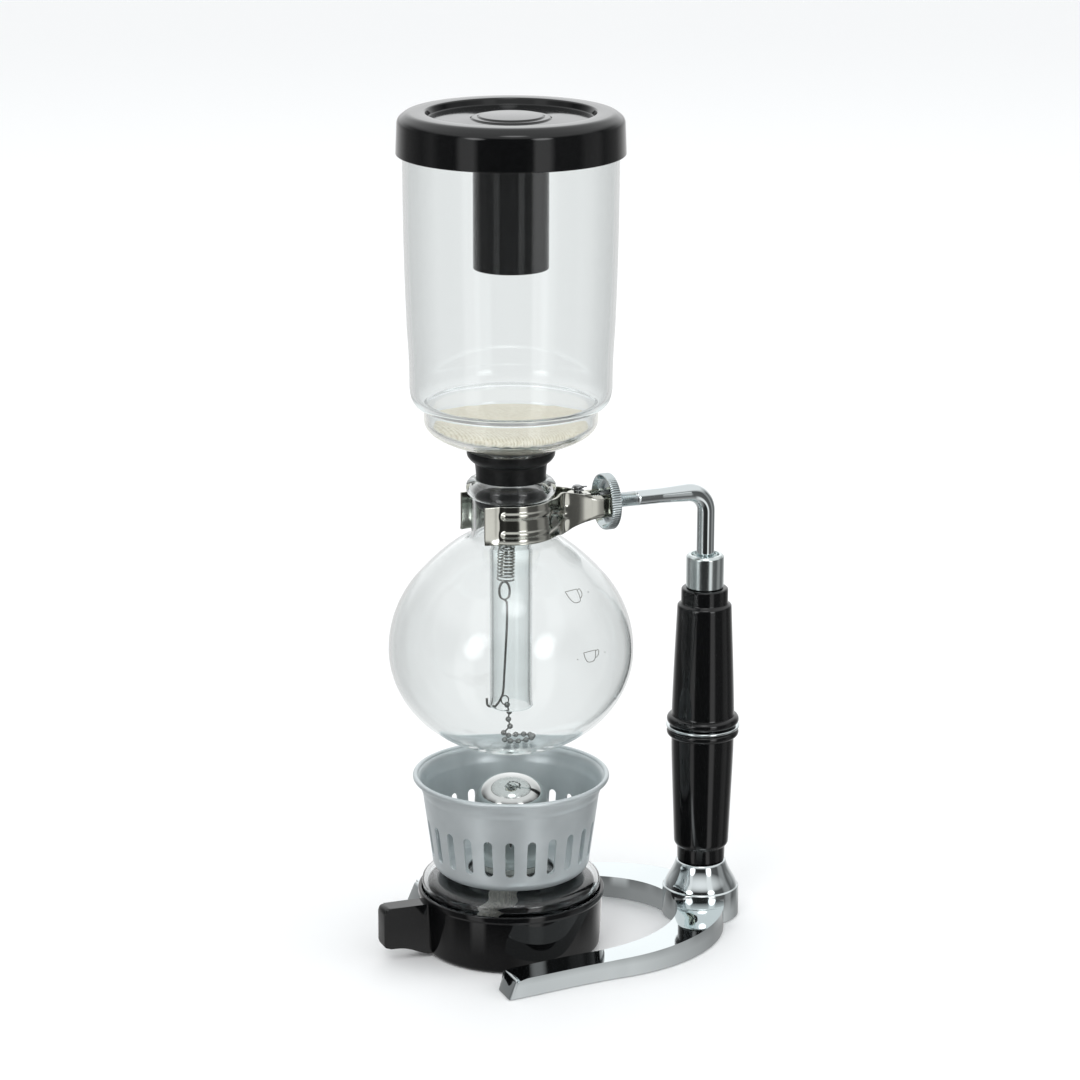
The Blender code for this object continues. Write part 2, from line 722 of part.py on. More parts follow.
def build_clamp_spring(parts):
    """Torsion spring round the pin's top, with one leg over each jaw."""
    points = [(PIVOT_X + 4.2, 3.6, 189.8)]
    turns = 10
    for i in range(turns + 1):
        angle = math.radians(60 - 36 * i)
        height = 189.8 + 1.0 * i / turns
        points.append((PIVOT_X + 2.2 * math.cos(angle), 2.2 * math.sin(angle), height))
    points.append((PIVOT_X + 4.6, 0.9, 190.8))
    thing = tube("clamp_spring", points, [0.3] * len(points), 1, parts)
    return finish(baked(thing, "clamp_spring", parts), steel("clamp_spring_steel"))


def lay_along_arm(thing):
    """Turn a piece made round +Z so that its +Z runs along the arm."""
    thing.rotation_euler = (0.0, math.radians(90), 0.0)
    thing.location.z = ARM_Z * MM
    return thing


def build_clamp_cone(parts):
    """Sleeve on the rod whose cone spreads the jaws' tails."""
    outline = [(4.6, 42.2), (4.8, 41.9), (3.8, 38.5), (3.35, 38.5), (3.35, 42.2)]
    return finish(lay_along_arm(turned("clamp_cone", outline, 20, parts)), steel("clamp_cone_steel"))


def build_clamp_wheel(parts, cutters):
    """Knurled thumb wheel, dished on the side of the jaws."""
    rim = []
    for i in range(2 * KNURLS):
        angle = math.pi * i / KNURLS
        radius = WHEEL_R if i % 2 else WHEEL_R - 0.35
        rim.append((radius * math.cos(angle), radius * math.sin(angle)))
    blank = plate_curve("wheel_blank", rim, WHEEL_X0, WHEEL_X1, parts)
    thing = baked(blank, "clamp_wheel", parts)
    low = WHEEL_X0 - 2.0
    dish = turned(
        "wheel_dish", [(0.0, WHEEL_X0 + 3.0), (9.0, WHEEL_X0 + 3.0), (10.5, WHEEL_X0), (11.2, low),
                       (0.0, low)], 24, cutters,
    )
    cut(thing, dish)
    cut(thing, rod_between("wheel_bore", (0, 0, 30), (0, 0, 50), 3.35, 20, cutters))
    thing = baked(thing, "clamp_wheel", parts)
    return finish(lay_along_arm(thing), chrome("clamp_wheel_chrome"))


# ==================================================================================
# spirit lamp
# ==================================================================================

def build_lamp_holder(parts, cutters):
    """Black cup under the font, with the lug that pulls the lamp out."""
    outline = [
        (0.0, HOLDER_TOP_Z), (HOLDER_R - 0.7, HOLDER_TOP_Z), (HOLDER_R, HOLDER_TOP_Z - 0.6),
        (HOLDER_R, HOLDER_TOP_Z - 2.2), (HOLDER_R - 0.4, HOLDER_TOP_Z - 2.6),
        (HOLDER_FOOT_R + 0.3, 1.2), (HOLDER_FOOT_R - 0.3, 0.0), (0.0, 0.0),
    ]
    thing = turned("lamp_holder", outline, FINE, parts)
    lug = box("lug", (LUG_TIP_X, -LUG_W / 2, LUG_Z0), (-30.0, LUG_W / 2, LUG_Z1), cutters)
    cut(thing, lug, "UNION")
    hollow = [(0.0, 30.0), (36.7, 30.0), (36.7, HOLDER_TOP_Z), (34.7, 3.4), (0.0, 3.2)]
    cut(thing, turned("holder_hollow", hollow, FINE, cutters))
    return finish(thing, black_plastic("lamp_holder_plastic"))


def build_lamp_font(parts):
    """Glass reservoir with a short neck."""
    outer = [(13.0, 38.1), (13.0, 33.2), (14.0, 32.1), (24.0, 31.5)]
    outer += bezier((28.0, 31.3), (33.5, 31.0), (FONT_R + 0.6, 30.2), (FONT_R + 0.6, 27.2), 3)
    outer += [(FONT_R + 0.3, 25.2), (34.4, 5.2), (33.0, 3.7), (0.0, 3.7)]
    inner = [(0.0, 5.6), (32.2, 5.6), (32.8, 6.4), (FONT_R - 1.5, 25.0)]
    inner += [(FONT_R - 1.6, 27.4), (32.5, 29.1), (28.0, 29.5), (24.0, 29.7), (12.2, 30.2)]
    inner += [(11.3, 31.4), (11.3, 38.1)]
    thing = turned("lamp_font", inner + outer, MEDIUM, parts)
    return finish(thing, glass("lamp_font_glass"))


def build_wick_parts(parts):
    collar = [(13.9, 39.2), (13.9, 33.4), (13.3, 33.4), (13.3, 38.4), (6.2, 38.4), (6.2, 39.2)]
    holder = [
        (5.8, 51.0), (5.8, 40.6), (9.5, 40.6), (9.5, 39.6), (5.8, 39.6), (5.8, 30.0),
        (4.6, 30.0), (4.6, 51.0),
    ]
    finish(turned("lamp_collar", collar, COARSE, parts), steel("lamp_collar_steel"))
    finish(turned("wick_holder", holder, 16, parts), steel("wick_holder_steel"))
    slack = Vector((-0.929, 0.370, 0.0))
    path = [(0.0, 54.0), (0.0, 38.0), (0.0, 26.5), (2.0, 22.4), (5.4, 18.6), (8.6, 14.2), (10.6, 9.4)]
    points = [(slack.x * d, slack.y * d, z) for d, z in path]
    wick = tube("wick", points, [4.2] * len(points), 5, parts)
    finish(baked(wick, "wick", parts), material("wick_cotton", (0.75, 0.72, 0.66), 0.95))


def slot_cutter(cutters):
    """All the shield's slots as one mesh of round-ended prisms."""
    shape = bmesh.new()
    half = SLOT_W / 2
    ends = arc(0.0, SLOT_Z1 - half, half, 0, 180, 4) + arc(0.0, SLOT_Z0 + half, half, 180, 360, 4)
    for i in range(SLOTS):
        turn = 2 * math.pi * (i + 0.5) / SLOTS
        spin = Matrix.Rotation(turn, 3, "Z")
        near = [shape.verts.new(spin @ Vector((28.0, y, z)) * MM) for y, z in ends]
        far = [shape.verts.new(spin @ Vector((40.0, y, z)) * MM) for y, z in ends]
        shape.faces.new(list(reversed(near)))
        shape.faces.new(far)
        for k in range(len(ends)):
            nxt = (k + 1) % len(ends)
            shape.faces.new((near[k], near[nxt], far[nxt], far[k]))
    bmesh.ops.recalc_face_normals(shape, faces=shape.faces)
    data = bpy.data.meshes.new("shield_slots")
    shape.to_mesh(data)
    shape.free()
    return add_object("shield_slots", data, cutters)


def build_windshield(parts, cutters):
    """Aluminium cup with a rolled rim, a ring of slots and a hole in its floor."""
    rim = arc(SHIELD_RIM_R - 1.0, SHIELD_RIM_Z - 0.4, 1.0, 150, -60, 4)
    outline = rim + [
        (36.9, 68.6), (36.0, 65.4), (32.2, 38.2), (30.9, 34.6), (28.0, 32.3), (17.5, 32.1),
        (17.5, 32.9), (27.7, 33.1), (30.2, 35.0), (31.4, 38.4), (35.2, 65.6), (36.2, 69.0),
    ]
    thing = turned("windshield", outline, 36, parts)
    cut(thing, slot_cutter(cutters))
    return finish(thing, material("windshield_aluminium", (0.55, 0.60, 0.63), 0.35, 1.0))


def build_lamp_cap(parts):
    """Snuffer: a plain dome on a straight skirt."""
    wall = 0.7
    crown = CAP_TOP_Z - CAP_SHOULDER_Z
    outer = [(0.0, CAP_TOP_Z)]
    outer += ellipse(CAP_SKIRT_R, crown, CAP_SHOULDER_Z, 90, 0, 7)[1:]
    outer.append((CAP_SKIRT_R, 36.4))
    inner = [(CAP_SKIRT_R - wall, 36.4)]
    inner += ellipse(CAP_SKIRT_R - wall, crown - wall, CAP_SHOULDER_Z, 0, 90, 7)[:-1]
    inner.append((0.0, CAP_TOP_Z - wall))
    return finish(turned("lamp_cap", outer + inner, 24, parts), chrome("lamp_cap_chrome"))


# ==================================================================================
# assembly
# ==================================================================================

def main():
    clear_scene()
    parts = new_collection("siphon_coffee_maker")
    cutters = new_collection("cutters")
    build_globe(parts)
    build_upper_bowl(parts)
    build_gasket(parts)
    build_lid(parts)
    build_filter_cloth(parts)
    build_filter_plate(parts, cutters)
    build_filter_stud(parts)
    build_drawstring(parts)
    build_filter_spring(parts)
    build_hook_wire(parts)
    build_ball_chain(parts)
    build_base(parts, cutters)
    build_base_screw(parts)
    build_support_arm(parts, cutters)
    build_grips(parts)
    build_jaw("front", ((188.3, 189.2), (178.3, 179.3)), parts, cutters)
    build_jaw("back", ((187.1, 187.95), (179.7, 180.7)), parts, cutters)
    build_clamp_pin(parts)
    build_clamp_spring(parts)
    build_clamp_cone(parts)
    build_clamp_wheel(parts, cutters)
    build_lamp_holder(parts, cutters)
    build_lamp_font(parts)
    build_wick_parts(parts)
    build_windshield(parts, cutters)
    build_lamp_cap(parts)


main()
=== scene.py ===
"""Siphon coffee maker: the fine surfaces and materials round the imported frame.

Everything is in metres, in the frame's own coordinates. Outlines are (radius, height) pairs
in millimetres; MM turns them into metres. Each finished piece replaces one CAD node.
"""
import json
from math import cos, exp, pi, radians, sin, sqrt

import bmesh
import bpy
from mathutils import Matrix, Vector


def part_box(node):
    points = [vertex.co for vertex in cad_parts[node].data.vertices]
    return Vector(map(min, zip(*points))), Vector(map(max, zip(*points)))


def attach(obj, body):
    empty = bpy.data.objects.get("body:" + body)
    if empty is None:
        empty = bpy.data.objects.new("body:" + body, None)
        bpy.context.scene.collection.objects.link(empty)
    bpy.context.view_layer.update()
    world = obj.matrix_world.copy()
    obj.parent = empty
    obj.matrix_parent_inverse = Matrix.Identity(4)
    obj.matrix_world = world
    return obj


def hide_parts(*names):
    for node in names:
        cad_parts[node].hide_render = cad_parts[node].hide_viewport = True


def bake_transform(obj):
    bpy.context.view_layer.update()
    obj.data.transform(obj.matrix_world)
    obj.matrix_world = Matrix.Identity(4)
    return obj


MM = 0.001
ROUND = 144                        # steps round the large turned pieces

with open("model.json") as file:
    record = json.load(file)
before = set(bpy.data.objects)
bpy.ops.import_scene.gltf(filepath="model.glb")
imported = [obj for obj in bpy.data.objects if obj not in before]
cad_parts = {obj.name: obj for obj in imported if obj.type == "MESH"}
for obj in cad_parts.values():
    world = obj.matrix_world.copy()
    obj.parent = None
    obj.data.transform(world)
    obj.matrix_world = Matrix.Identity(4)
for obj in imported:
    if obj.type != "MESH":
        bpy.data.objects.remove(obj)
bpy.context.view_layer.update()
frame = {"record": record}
RECORD = frame["record"]
NODE_BODY = {node: body for body, nodes in RECORD["behaviour"]["bodies"].items() for node in nodes}


def low(node):
    """Lowest corner of a CAD node in millimetres."""
    return Vector(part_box(node)[0]) / MM


def high(node):
    """Highest corner of a CAD node in millimetres."""
    return Vector(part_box(node)[1]) / MM


def middle(node):
    return (low(node) + high(node)) / 2


def heights(node):
    """Level of a CAD node's foot and of its top."""
    return low(node).z, high(node).z


# --- driving places, from the frame -------------------------------------------------
ARM_Z = middle("clamp_wheel").z
HANDLE_X = middle("grip_upper").x
PIVOT_X = middle("clamp_pin").x
ON_HANDLE = (HANDLE_X, 0.0, 0.0)
GAP = 0.3                          # round the arm, inside the pieces that it passes
HANDLE_BORE = high("support_arm").x - HANDLE_X + GAP
PIN_HOLE_R = 1.6
WALL = 1.8                         # thickness of the globe's glass
GLOBE_RISE = 46.8                  # from the globe's widest level to its ellipse's top
GLOBE_DROP = 42.8                  # and down to its foot


# --- outlines --------------------------------------------------------------

def arc(cx, cz, radius, start, stop, count):
    """Points on a circle round (cx, cz), from angle start to stop in degrees."""
    points = []
    for i in range(count + 1):
        angle = radians(start + (stop - start) * i / count)
        points.append((cx + radius * cos(angle), cz + radius * sin(angle)))
    return points


def ellipse(a, b, cz, start, stop, count):
    points = []
    for i in range(count + 1):
        angle = radians(start + (stop - start) * i / count)
        points.append((a * cos(angle), cz + b * sin(angle)))
    return points


def bezier(p0, p1, p2, p3, count):
    points = []
    for i in range(count + 1):
        t = i / count
        s = 1.0 - t
        weights = (s * s * s, 3 * s * s * t, 3 * s * t * t, t * t * t)
        x = sum(w * p[0] for w, p in zip(weights, (p0, p1, p2, p3)))
        z = sum(w * p[1] for w, p in zip(weights, (p0, p1, p2, p3)))
        points.append((x, z))
    return points


def filleted(corners, closed=True, count=4):
    """Round the corners given as (r, z, fillet); a corner without a fillet stays sharp."""
    points = []
    total = len(corners)
    for i, corner in enumerate(corners):
        here = Vector(corner[:2])
        size = corner[2] if len(corner) > 2 else 0.0
        open_end = not closed and i in (0, total - 1)
        if size <= 0.0 or open_end:
            points.append(tuple(here))
            continue
        before = Vector(corners[i - 1][:2]) - here
        after = Vector(corners[(i + 1) % total][:2]) - here
        reach = min(size, before.length * 0.49, after.length * 0.49)
        a = here + before.normalized() * reach
        b = here + after.normalized() * reach
        for k in range(count + 1):
            t = k / count
            points.append(tuple(a * (1 - t) ** 2 + here * 2 * t * (1 - t) + b * t * t))
    return points


def smooth_path(points, per_span=8):
    """Catmull-Rom curve through points of any dimension, given as tuples."""
    ends = [points[0]] + list(points) + [points[-1]]
    result = []
    for p0, p1, p2, p3 in zip(ends, ends[1:], ends[2:], ends[3:]):
        for k in range(per_span):
            t = k / per_span
            row = []
            for a, b, c, d in zip(p0, p1, p2, p3):
                row.append(0.5 * (2 * b + (c - a) * t + (2 * a - 5 * b + 4 * c - d) * t * t
                                  + (3 * b - a - 3 * c + d) * t ** 3))
            result.append(tuple(row))
    result.append(tuple(points[-1]))
    return result


# --- mesh builders ---------------------------------------------------------

def finish_mesh(name, shape, sharp=32):
    bmesh.ops.recalc_face_normals(shape, faces=shape.faces)
    data = bpy.data.meshes.new(name)
    shape.to_mesh(data)
    shape.free()
    data.shade_smooth()
    data.set_sharp_from_angle(angle=radians(sharp))
    thing = bpy.data.objects.new(name, data)
    bpy.context.scene.collection.objects.link(thing)
    return thing


def lathe(name, outline, steps=ROUND, warp=None, at=(0.0, 0.0, 0.0), axis="Z", sharp=32):
    """Turn an outline in millimetres round the Z (or X) axis through a point."""
    on_axis = abs(outline[0][0]) < 1e-6 and abs(outline[-1][0]) < 1e-6
    shape = bmesh.new()
    rings = []
    for r, z in outline:
        if abs(r) < 1e-6:
            rings.append([shape.verts.new((0.0, 0.0, z))])
            continue
        ring = []
        for k in range(steps):
            turn = 2 * pi * k / steps
            rr, zz = warp(r, z, turn) if warp else (r, z)
            ring.append(shape.verts.new((rr * cos(turn), rr * sin(turn), zz)))
        rings.append(ring)
    pairs = list(zip(rings, rings[1:]))
    if not on_axis:
        pairs.append((rings[-1], rings[0]))
    for a, b in pairs:
        for k in range(steps):
            n = (k + 1) % steps
            if len(a) == 1 and len(b) == 1:
                continue
            if len(a) == 1:
                shape.faces.new((a[0], b[k], b[n]))
            elif len(b) == 1:
                shape.faces.new((a[k], b[0], a[n]))
            else:
                shape.faces.new((a[k], b[k], b[n], a[n]))
    turn = Matrix.Rotation(radians(90), 4, "Y") if axis == "X" else Matrix.Identity(4)
    move = Matrix.Scale(MM, 4) @ Matrix.Translation(Vector(at)) @ turn
    bmesh.ops.transform(shape, matrix=move, verts=shape.verts)
    return finish_mesh(name, shape, sharp)


def sweep(name, points, radius, sides=10, caps=True, sharp=40):
    """A round section along points in millimetres; radius is a number or f(length, angle)."""
    path = [Vector(p) for p in points]
    shape = bmesh.new()
    tangent = (path[1] - path[0]).normalized()
    side = tangent.orthogonal().normalized()
    length = 0.0
    rings = []
    for i, centre in enumerate(path):
        ahead = path[min(i + 1, len(path) - 1)] - path[max(i - 1, 0)]
        ahead.normalize()
        side = (side - ahead * side.dot(ahead)).normalized()
        other = ahead.cross(side)
        if i:
            length += (centre - path[i - 1]).length
        ring = []
        for k in range(sides):
            angle = 2 * pi * k / sides
            r = radius(length, angle) if callable(radius) else radius
            spot = centre + (side * cos(angle) + other * sin(angle)) * r
            ring.append(shape.verts.new(spot * MM))
        rings.append(ring)
    for a, b in zip(rings, rings[1:]):
        for k in range(sides):
            n = (k + 1) % sides
            shape.faces.new((a[k], a[n], b[n], b[k]))
    if caps:
        shape.faces.new(list(reversed(rings[0])))
        shape.faces.new(rings[-1])
    return finish_mesh(name, shape, sharp)


def close_prism(shape, near, far):
    """Faces of a prism between two rings of vertices; returns its two ends."""
    ends = shape.faces.new(list(reversed(near))), shape.faces.new(far)
    for k in range(len(near)):
        n = (k + 1) % len(near)
        shape.faces.new((near[k], near[n], far[n], far[k]))
    return ends


def extruded(name, outline, z0, z1):
    """A flat outline in millimetres raised from z0 to z1."""
    shape = bmesh.new()
    bottom = [shape.verts.new((x * MM, y * MM, z0 * MM)) for x, y in outline]
    top = [shape.verts.new((x * MM, y * MM, z1 * MM)) for x, y in outline]
    close_prism(shape, bottom, top)
    return finish_mesh(name, shape)


def joined(name, pieces):
    """Several mesh objects made one, keeping their separate shells."""
    shape = bmesh.new()
    for piece in pieces:
        piece.data.transform(piece.matrix_world)
        shape.from_mesh(piece.data)
        bpy.data.objects.remove(piece, do_unlink=True)
    return finish_mesh(name, shape)


def boolean(thing, other, operation):
    """Apply an exact Boolean at once and remove the other object."""
    step = thing.modifiers.new(operation.lower(), "BOOLEAN")
    step.operation = operation
    step.object = other
    step.solver = "EXACT"
    bake_modifiers(thing)
    bpy.data.objects.remove(other, do_unlink=True)
    return thing


def bake_modifiers(thing, sharp=32):
    bpy.context.view_layer.update()
    graph = bpy.context.evaluated_depsgraph_get()
    data = bpy.data.meshes.new_from_object(thing.evaluated_get(graph))
    thing.modifiers.clear()
    thing.data = data
    data.shade_smooth()
    data.set_sharp_from_angle(angle=radians(sharp))
    return thing


def add_peg(shape, centre, radius, depth, sides):
    """An upright prism in a mesh, for a hole, a slot for a key or a drill."""
    bmesh.ops.create_cone(
        shape, cap_ends=True, segments=sides, radius1=radius * MM, radius2=radius * MM,
        depth=depth * MM, matrix=Matrix.Translation(Vector(centre) * MM),
    )


def peg(name, centre, radius, depth, sides):
    shape = bmesh.new()
    add_peg(shape, centre, radius, depth, sides)
    return finish_mesh(name, shape)


def flatten_shading(piece):
    """Shade the big flat faces as flat, so that their rounded edges don't tilt them."""
    level = 30.0 * MM * MM
    upright = 100.0 * MM * MM
    for face in piece.data.polygons:
        lies_flat = abs(face.normal.z) > 0.98 and face.area > level
        stands_flat = abs(face.normal.y) > 0.99 and face.area > upright
        if lies_flat or stands_flat:
            face.use_smooth = False
    return piece


def stand_in(piece, node, look):
    """The piece replaces a CAD node, rides on its body and gets the look as its one material."""
    piece.data.materials.clear()
    piece.data.materials.append(look)
    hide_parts(node)
    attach(piece, NODE_BODY[node])
    return piece


def turned(node, outline, look, **how):
    """A lathed piece that takes the place of its CAD node."""
    return stand_in(lathe(node + "_finished", outline, **how), node, look)


# --- materials -------------------------------------------------------------

BLACK = (0.0035, 0.0037, 0.004)
CLEAR = (0.955, 0.975, 0.975)


class Graph:
    """Short calls for the nodes that the looks, the floor and the world need."""

    def __init__(self, tree):
        self.nodes = tree.nodes
        self.links = tree.links

    def join(self, out, slot):
        self.links.new(out, slot)

    def feed(self, slot, value):
        """Set a socket to a number or link another socket into it."""
        if hasattr(value, "default_value"):
            self.links.new(value, slot)
        else:
            slot.default_value = value

    def math(self, operation, a, b=0.0, c=0.0):
        node = self.nodes.new("ShaderNodeMath")
        node.operation = operation
        for slot, value in zip(node.inputs, (a, b, c)):
            self.feed(slot, value)
        return node.outputs[0]

    def plus(self, a, b):
        return self.math("ADD", a, b)

    def minus(self, a, b):
        return self.math("SUBTRACT", a, b)

    def times(self, a, b):
        return self.math("MULTIPLY", a, b)

    def most(self, a, b):
        return self.math("MAXIMUM", a, b)

    def above(self, a, b):
        """1 where a is over b, else 0."""
        return self.math("GREATER_THAN", a, b)

    def split(self, vector):
        node = self.nodes.new("ShaderNodeSeparateXYZ")
        self.join(vector, node.inputs[0])
        return node.outputs

    def ramp(self, value, stops, smooth=False):
        node = self.nodes.new("ShaderNodeValToRGB")
        line = node.color_ramp
        line.interpolation = "EASE" if smooth else "LINEAR"
        while len(line.elements) < len(stops):
            line.elements.new(0.5)
        for element, (place, color) in zip(line.elements, stops):
            element.position = place
            element.color = (*color, 1.0)
        self.join(value, node.inputs["Fac"])
        return node.outputs["Color"]

    def span(self, value, to_low, to_high, from_low=0.0, from_high=1.0):
        """Spread a value between two numbers, clamped at both."""
        node = self.nodes.new("ShaderNodeMapRange")
        node.inputs["From Min"].default_value = from_low
        node.inputs["From Max"].default_value = from_high
        node.inputs["To Min"].default_value = to_low
        node.inputs["To Max"].default_value = to_high
        self.join(value, node.inputs["Value"])
        return node.outputs[0]

    def surface(self, share, first, second):
        """Give the material's surface the first shader where share is 0, the second at 1."""
        mix = self.nodes.new("ShaderNodeMixShader")
        self.join(share, mix.inputs[0])
        self.join(first.outputs[0], mix.inputs[1])
        self.join(second.outputs[0], mix.inputs[2])
        self.join(mix.outputs[0], self.nodes["Material Output"].inputs["Surface"])

    def blend(self, share, a, b):
        """a where share is 0, b where it is 1, for plain numbers."""
        part = self.times(self.minus(b, a), share)
        return self.plus(a, part)


class Look(Graph):
    """A node material round one Principled shader, in object coordinates."""

    def __init__(self, name, color, roughness, metallic=0.0):
        self.material = bpy.data.materials.new(name)
        self.material.use_nodes = True
        super().__init__(self.material.node_tree)
        self.shader = self.nodes["Principled BSDF"]
        self.set("Base Color", (*color, 1.0))
        self.set("Roughness", roughness)
        self.set("Metallic", metallic)
        self.place = self.nodes.new("ShaderNodeTexCoord").outputs["Object"]

    def set(self, name, value):
        self.shader.inputs[name].default_value = value

    def link(self, out, name):
        self.join(out, self.shader.inputs[name])

    def axis(self, name):
        return self.split(self.place)[name]

    def noise(self, scale, detail=3.0, stretch=(1.0, 1.0, 1.0), rough=0.5):
        spread = self.nodes.new("ShaderNodeMapping")
        spread.inputs["Scale"].default_value = stretch
        self.join(self.place, spread.inputs["Vector"])
        node = self.nodes.new("ShaderNodeTexNoise")
        node.inputs["Scale"].default_value = scale
        node.inputs["Detail"].default_value = detail
        node.inputs["Roughness"].default_value = rough
        self.join(spread.outputs[0], node.inputs["Vector"])
        return node.outputs["Fac"]

    def bump(self, height, distance, strength=1.0):
        node = self.nodes.new("ShaderNodeBump")
        node.inputs["Distance"].default_value = distance
        node.inputs["Strength"].default_value = strength
        self.join(height, node.inputs["Height"])
        self.link(node.outputs[0], "Normal")


def clear_shadow(look, tint):
    """Let soft light pass the glass, and end long runs of reflections inside its wall."""
    share = 0.96
    longest = 6.0
    path = look.nodes.new("ShaderNodeLightPath").outputs
    through = look.nodes.new("ShaderNodeBsdfTransparent")
    through.inputs["Color"].default_value = (*tint, 1.0)
    soft = look.most(path["Is Shadow Ray"], path["Is Diffuse Ray"])
    spent = look.above(path["Transmission Depth"], longest)
    guided = look.above(path["Glossy Depth"], 1.5)
    ended = look.most(spent, guided)
    look.surface(look.most(look.times(soft, share), ended), look.shader, through)


def glass_look(name, tint, waviness=0.00004):
    """Blown borosilicate glass: clear, faintly cool, with slow waves in its surface."""
    look = Look(name, tint, 0.0)
    look.set("Transmission Weight", 1.0)
    look.set("IOR", 1.47)
    waves = look.noise(38.0, 1.0, (1.0, 1.0, 0.45))
    look.bump(waves, waviness, 0.6)
    look.link(look.span(look.noise(260.0, 2.0), 0.0, 0.012), "Roughness")
    clear_shadow(look, tint)
    return look.material


def plastic_look(name, color, rough_low, rough_high, grain=0.000006):
    """Glossy moulded plastic with a faint orange-peel and slight wear in its gloss."""
    look = Look(name, color, rough_low)
    look.set("IOR", 1.47)
    look.set("Coat Weight", 0.08)
    look.set("Coat Roughness", 0.04)
    wear = look.noise(55.0, 4.0)
    look.link(look.span(wear, rough_low, rough_high), "Roughness")
    fleck = look.noise(900.0, 2.0)
    darker = tuple(c * 0.75 for c in color)
    lighter = tuple(c * 1.3 for c in color)
    look.link(look.ramp(fleck, ((0.3, darker), (0.7, lighter))), "Base Color")
    look.bump(look.noise(420.0, 2.0), grain, 0.7)
    return look.material


def paint_glow_in_glass_corners(material, level=0.85):
    """Lighten a dark piece with painted light for rays that turned round inside a glass wall.

    It would draw a hard dark line there; for these rays the piece glows with a pale emission
    instead, a painted glow and no lamp.
    """
    graph = Graph(material.node_tree)
    path = graph.nodes.new("ShaderNodeLightPath").outputs
    deep = graph.above(path["Transmission Depth"], 2.5)
    bounced = graph.above(path["Glossy Depth"], 0.5)
    # painted light: a pale glow that only rays which bounced inside the glass see
    glow = graph.nodes.new("ShaderNodeEmission")
    glow.inputs["Strength"].default_value = level
    graph.surface(graph.times(deep, bounced), graph.nodes["Principled BSDF"], glow)
    return material


def rubber_look(name):
    look = Look(name, (0.006, 0.0062, 0.0066), 0.4)
    look.set("Specular IOR Level", 0.3)
    look.link(look.span(look.noise(120.0, 4.0), 0.26, 0.42), "Roughness")
    dust = look.noise(640.0, 3.0)
    clean = (0.0045, 0.0047, 0.005)
    dusty = (0.011, 0.0115, 0.012)
    look.link(look.ramp(dust, ((0.35, clean), (0.8, dusty))), "Base Color")
    look.bump(look.noise(1500.0, 3.0), 0.00002, 0.5)
    return look.material


def chrome_look(name, color=(0.80, 0.82, 0.83), rough_low=0.02, rough_high=0.07, waves=0.00001):
    """Polished plate: nearly a mirror, with handling haze and a slow ripple from the casting."""
    look = Look(name, color, rough_low, 1.0)
    look.link(look.span(look.noise(70.0, 5.0), rough_low, rough_high), "Roughness")
    haze = look.noise(30.0, 2.0)
    dim = tuple(c * 0.95 for c in color)
    look.link(look.ramp(haze, ((0.3, dim), (0.7, color))), "Base Color")
    look.bump(look.noise(90.0, 1.0), waves, 0.5)
    return look.material


def brushed_look(name, color, rough_low, rough_high, along="X", line=2600.0, depth=0.000006):
    """Pressed or turned steel with fine lines along one axis."""
    stretch = {"X": (0.02, 1.0, 1.0), "Y": (1.0, 0.02, 1.0), "Z": (1.0, 1.0, 0.02)}[along]
    look = Look(name, color, rough_low, 1.0)
    lines = look.noise(line, 3.0, stretch)
    look.link(look.span(lines, rough_low, rough_high), "Roughness")
    dim = tuple(c * 0.82 for c in color)
    look.link(look.ramp(look.noise(45.0, 4.0), ((0.3, dim), (0.7, color))), "Base Color")
    look.bump(lines, depth, 0.7)
    return look.material


def aluminium_look(name):
    """Bead-blasted, anodised aluminium: fine sparkle and a soft satin reflection."""
    look = Look(name, (0.62, 0.67, 0.69), 0.36, 0.58)
    look.link(look.span(look.noise(2200.0, 2.0), 0.30, 0.44), "Roughness")
    cloud = look.noise(60.0, 3.0)
    dim = (0.53, 0.575, 0.59)
    bright = (0.62, 0.665, 0.68)
    look.link(look.ramp(cloud, ((0.3, dim), (0.7, bright))), "Base Color")
    look.bump(look.noise(3800.0, 2.0), 0.00002, 0.7)
    return look.material


def cloth_look(name):
    """Brushed cotton filter cloth: plain weave, soft nap and a few dark seed flecks."""
    thread = 0.00062
    look = Look(name, (0.80, 0.75, 0.64), 0.92)
    look.set("Sheen Weight", 0.35)
    warp = look.math("SINE", look.times(look.axis("X"), 2 * pi / thread))
    weft = look.math("SINE", look.times(look.axis("Y"), 2 * pi / thread))
    weave = look.times(warp, weft)
    fuzz = look.noise(2400.0, 4.0, rough=0.7)
    height = look.plus(look.times(weave, 0.3), fuzz)
    look.bump(height, 0.00018, 0.7)
    rib = look.math("SINE", look.times(look.axis("X"), pi / thread))
    tone = look.plus(look.times(weave, 0.16), look.noise(700.0, 5.0, rough=0.65))
    tone = look.plus(tone, look.times(rib, 0.10))
    tan = (0.66, 0.57, 0.43)
    beige = (0.86, 0.77, 0.63)
    ivory = (0.97, 0.90, 0.78)
    cream = look.ramp(tone, ((0.30, tan), (0.48, beige), (0.70, ivory)))
    flecks = look.above(look.noise(1300.0, 2.0), 0.72)
    mix = look.nodes.new("ShaderNodeMixRGB")
    mix.inputs["Color2"].default_value = (0.36, 0.30, 0.22, 1.0)
    look.links.new(look.times(flecks, 0.4), mix.inputs["Fac"])
    look.links.new(cream, mix.inputs["Color1"])
    look.link(mix.outputs[0], "Base Color")
    return look.material


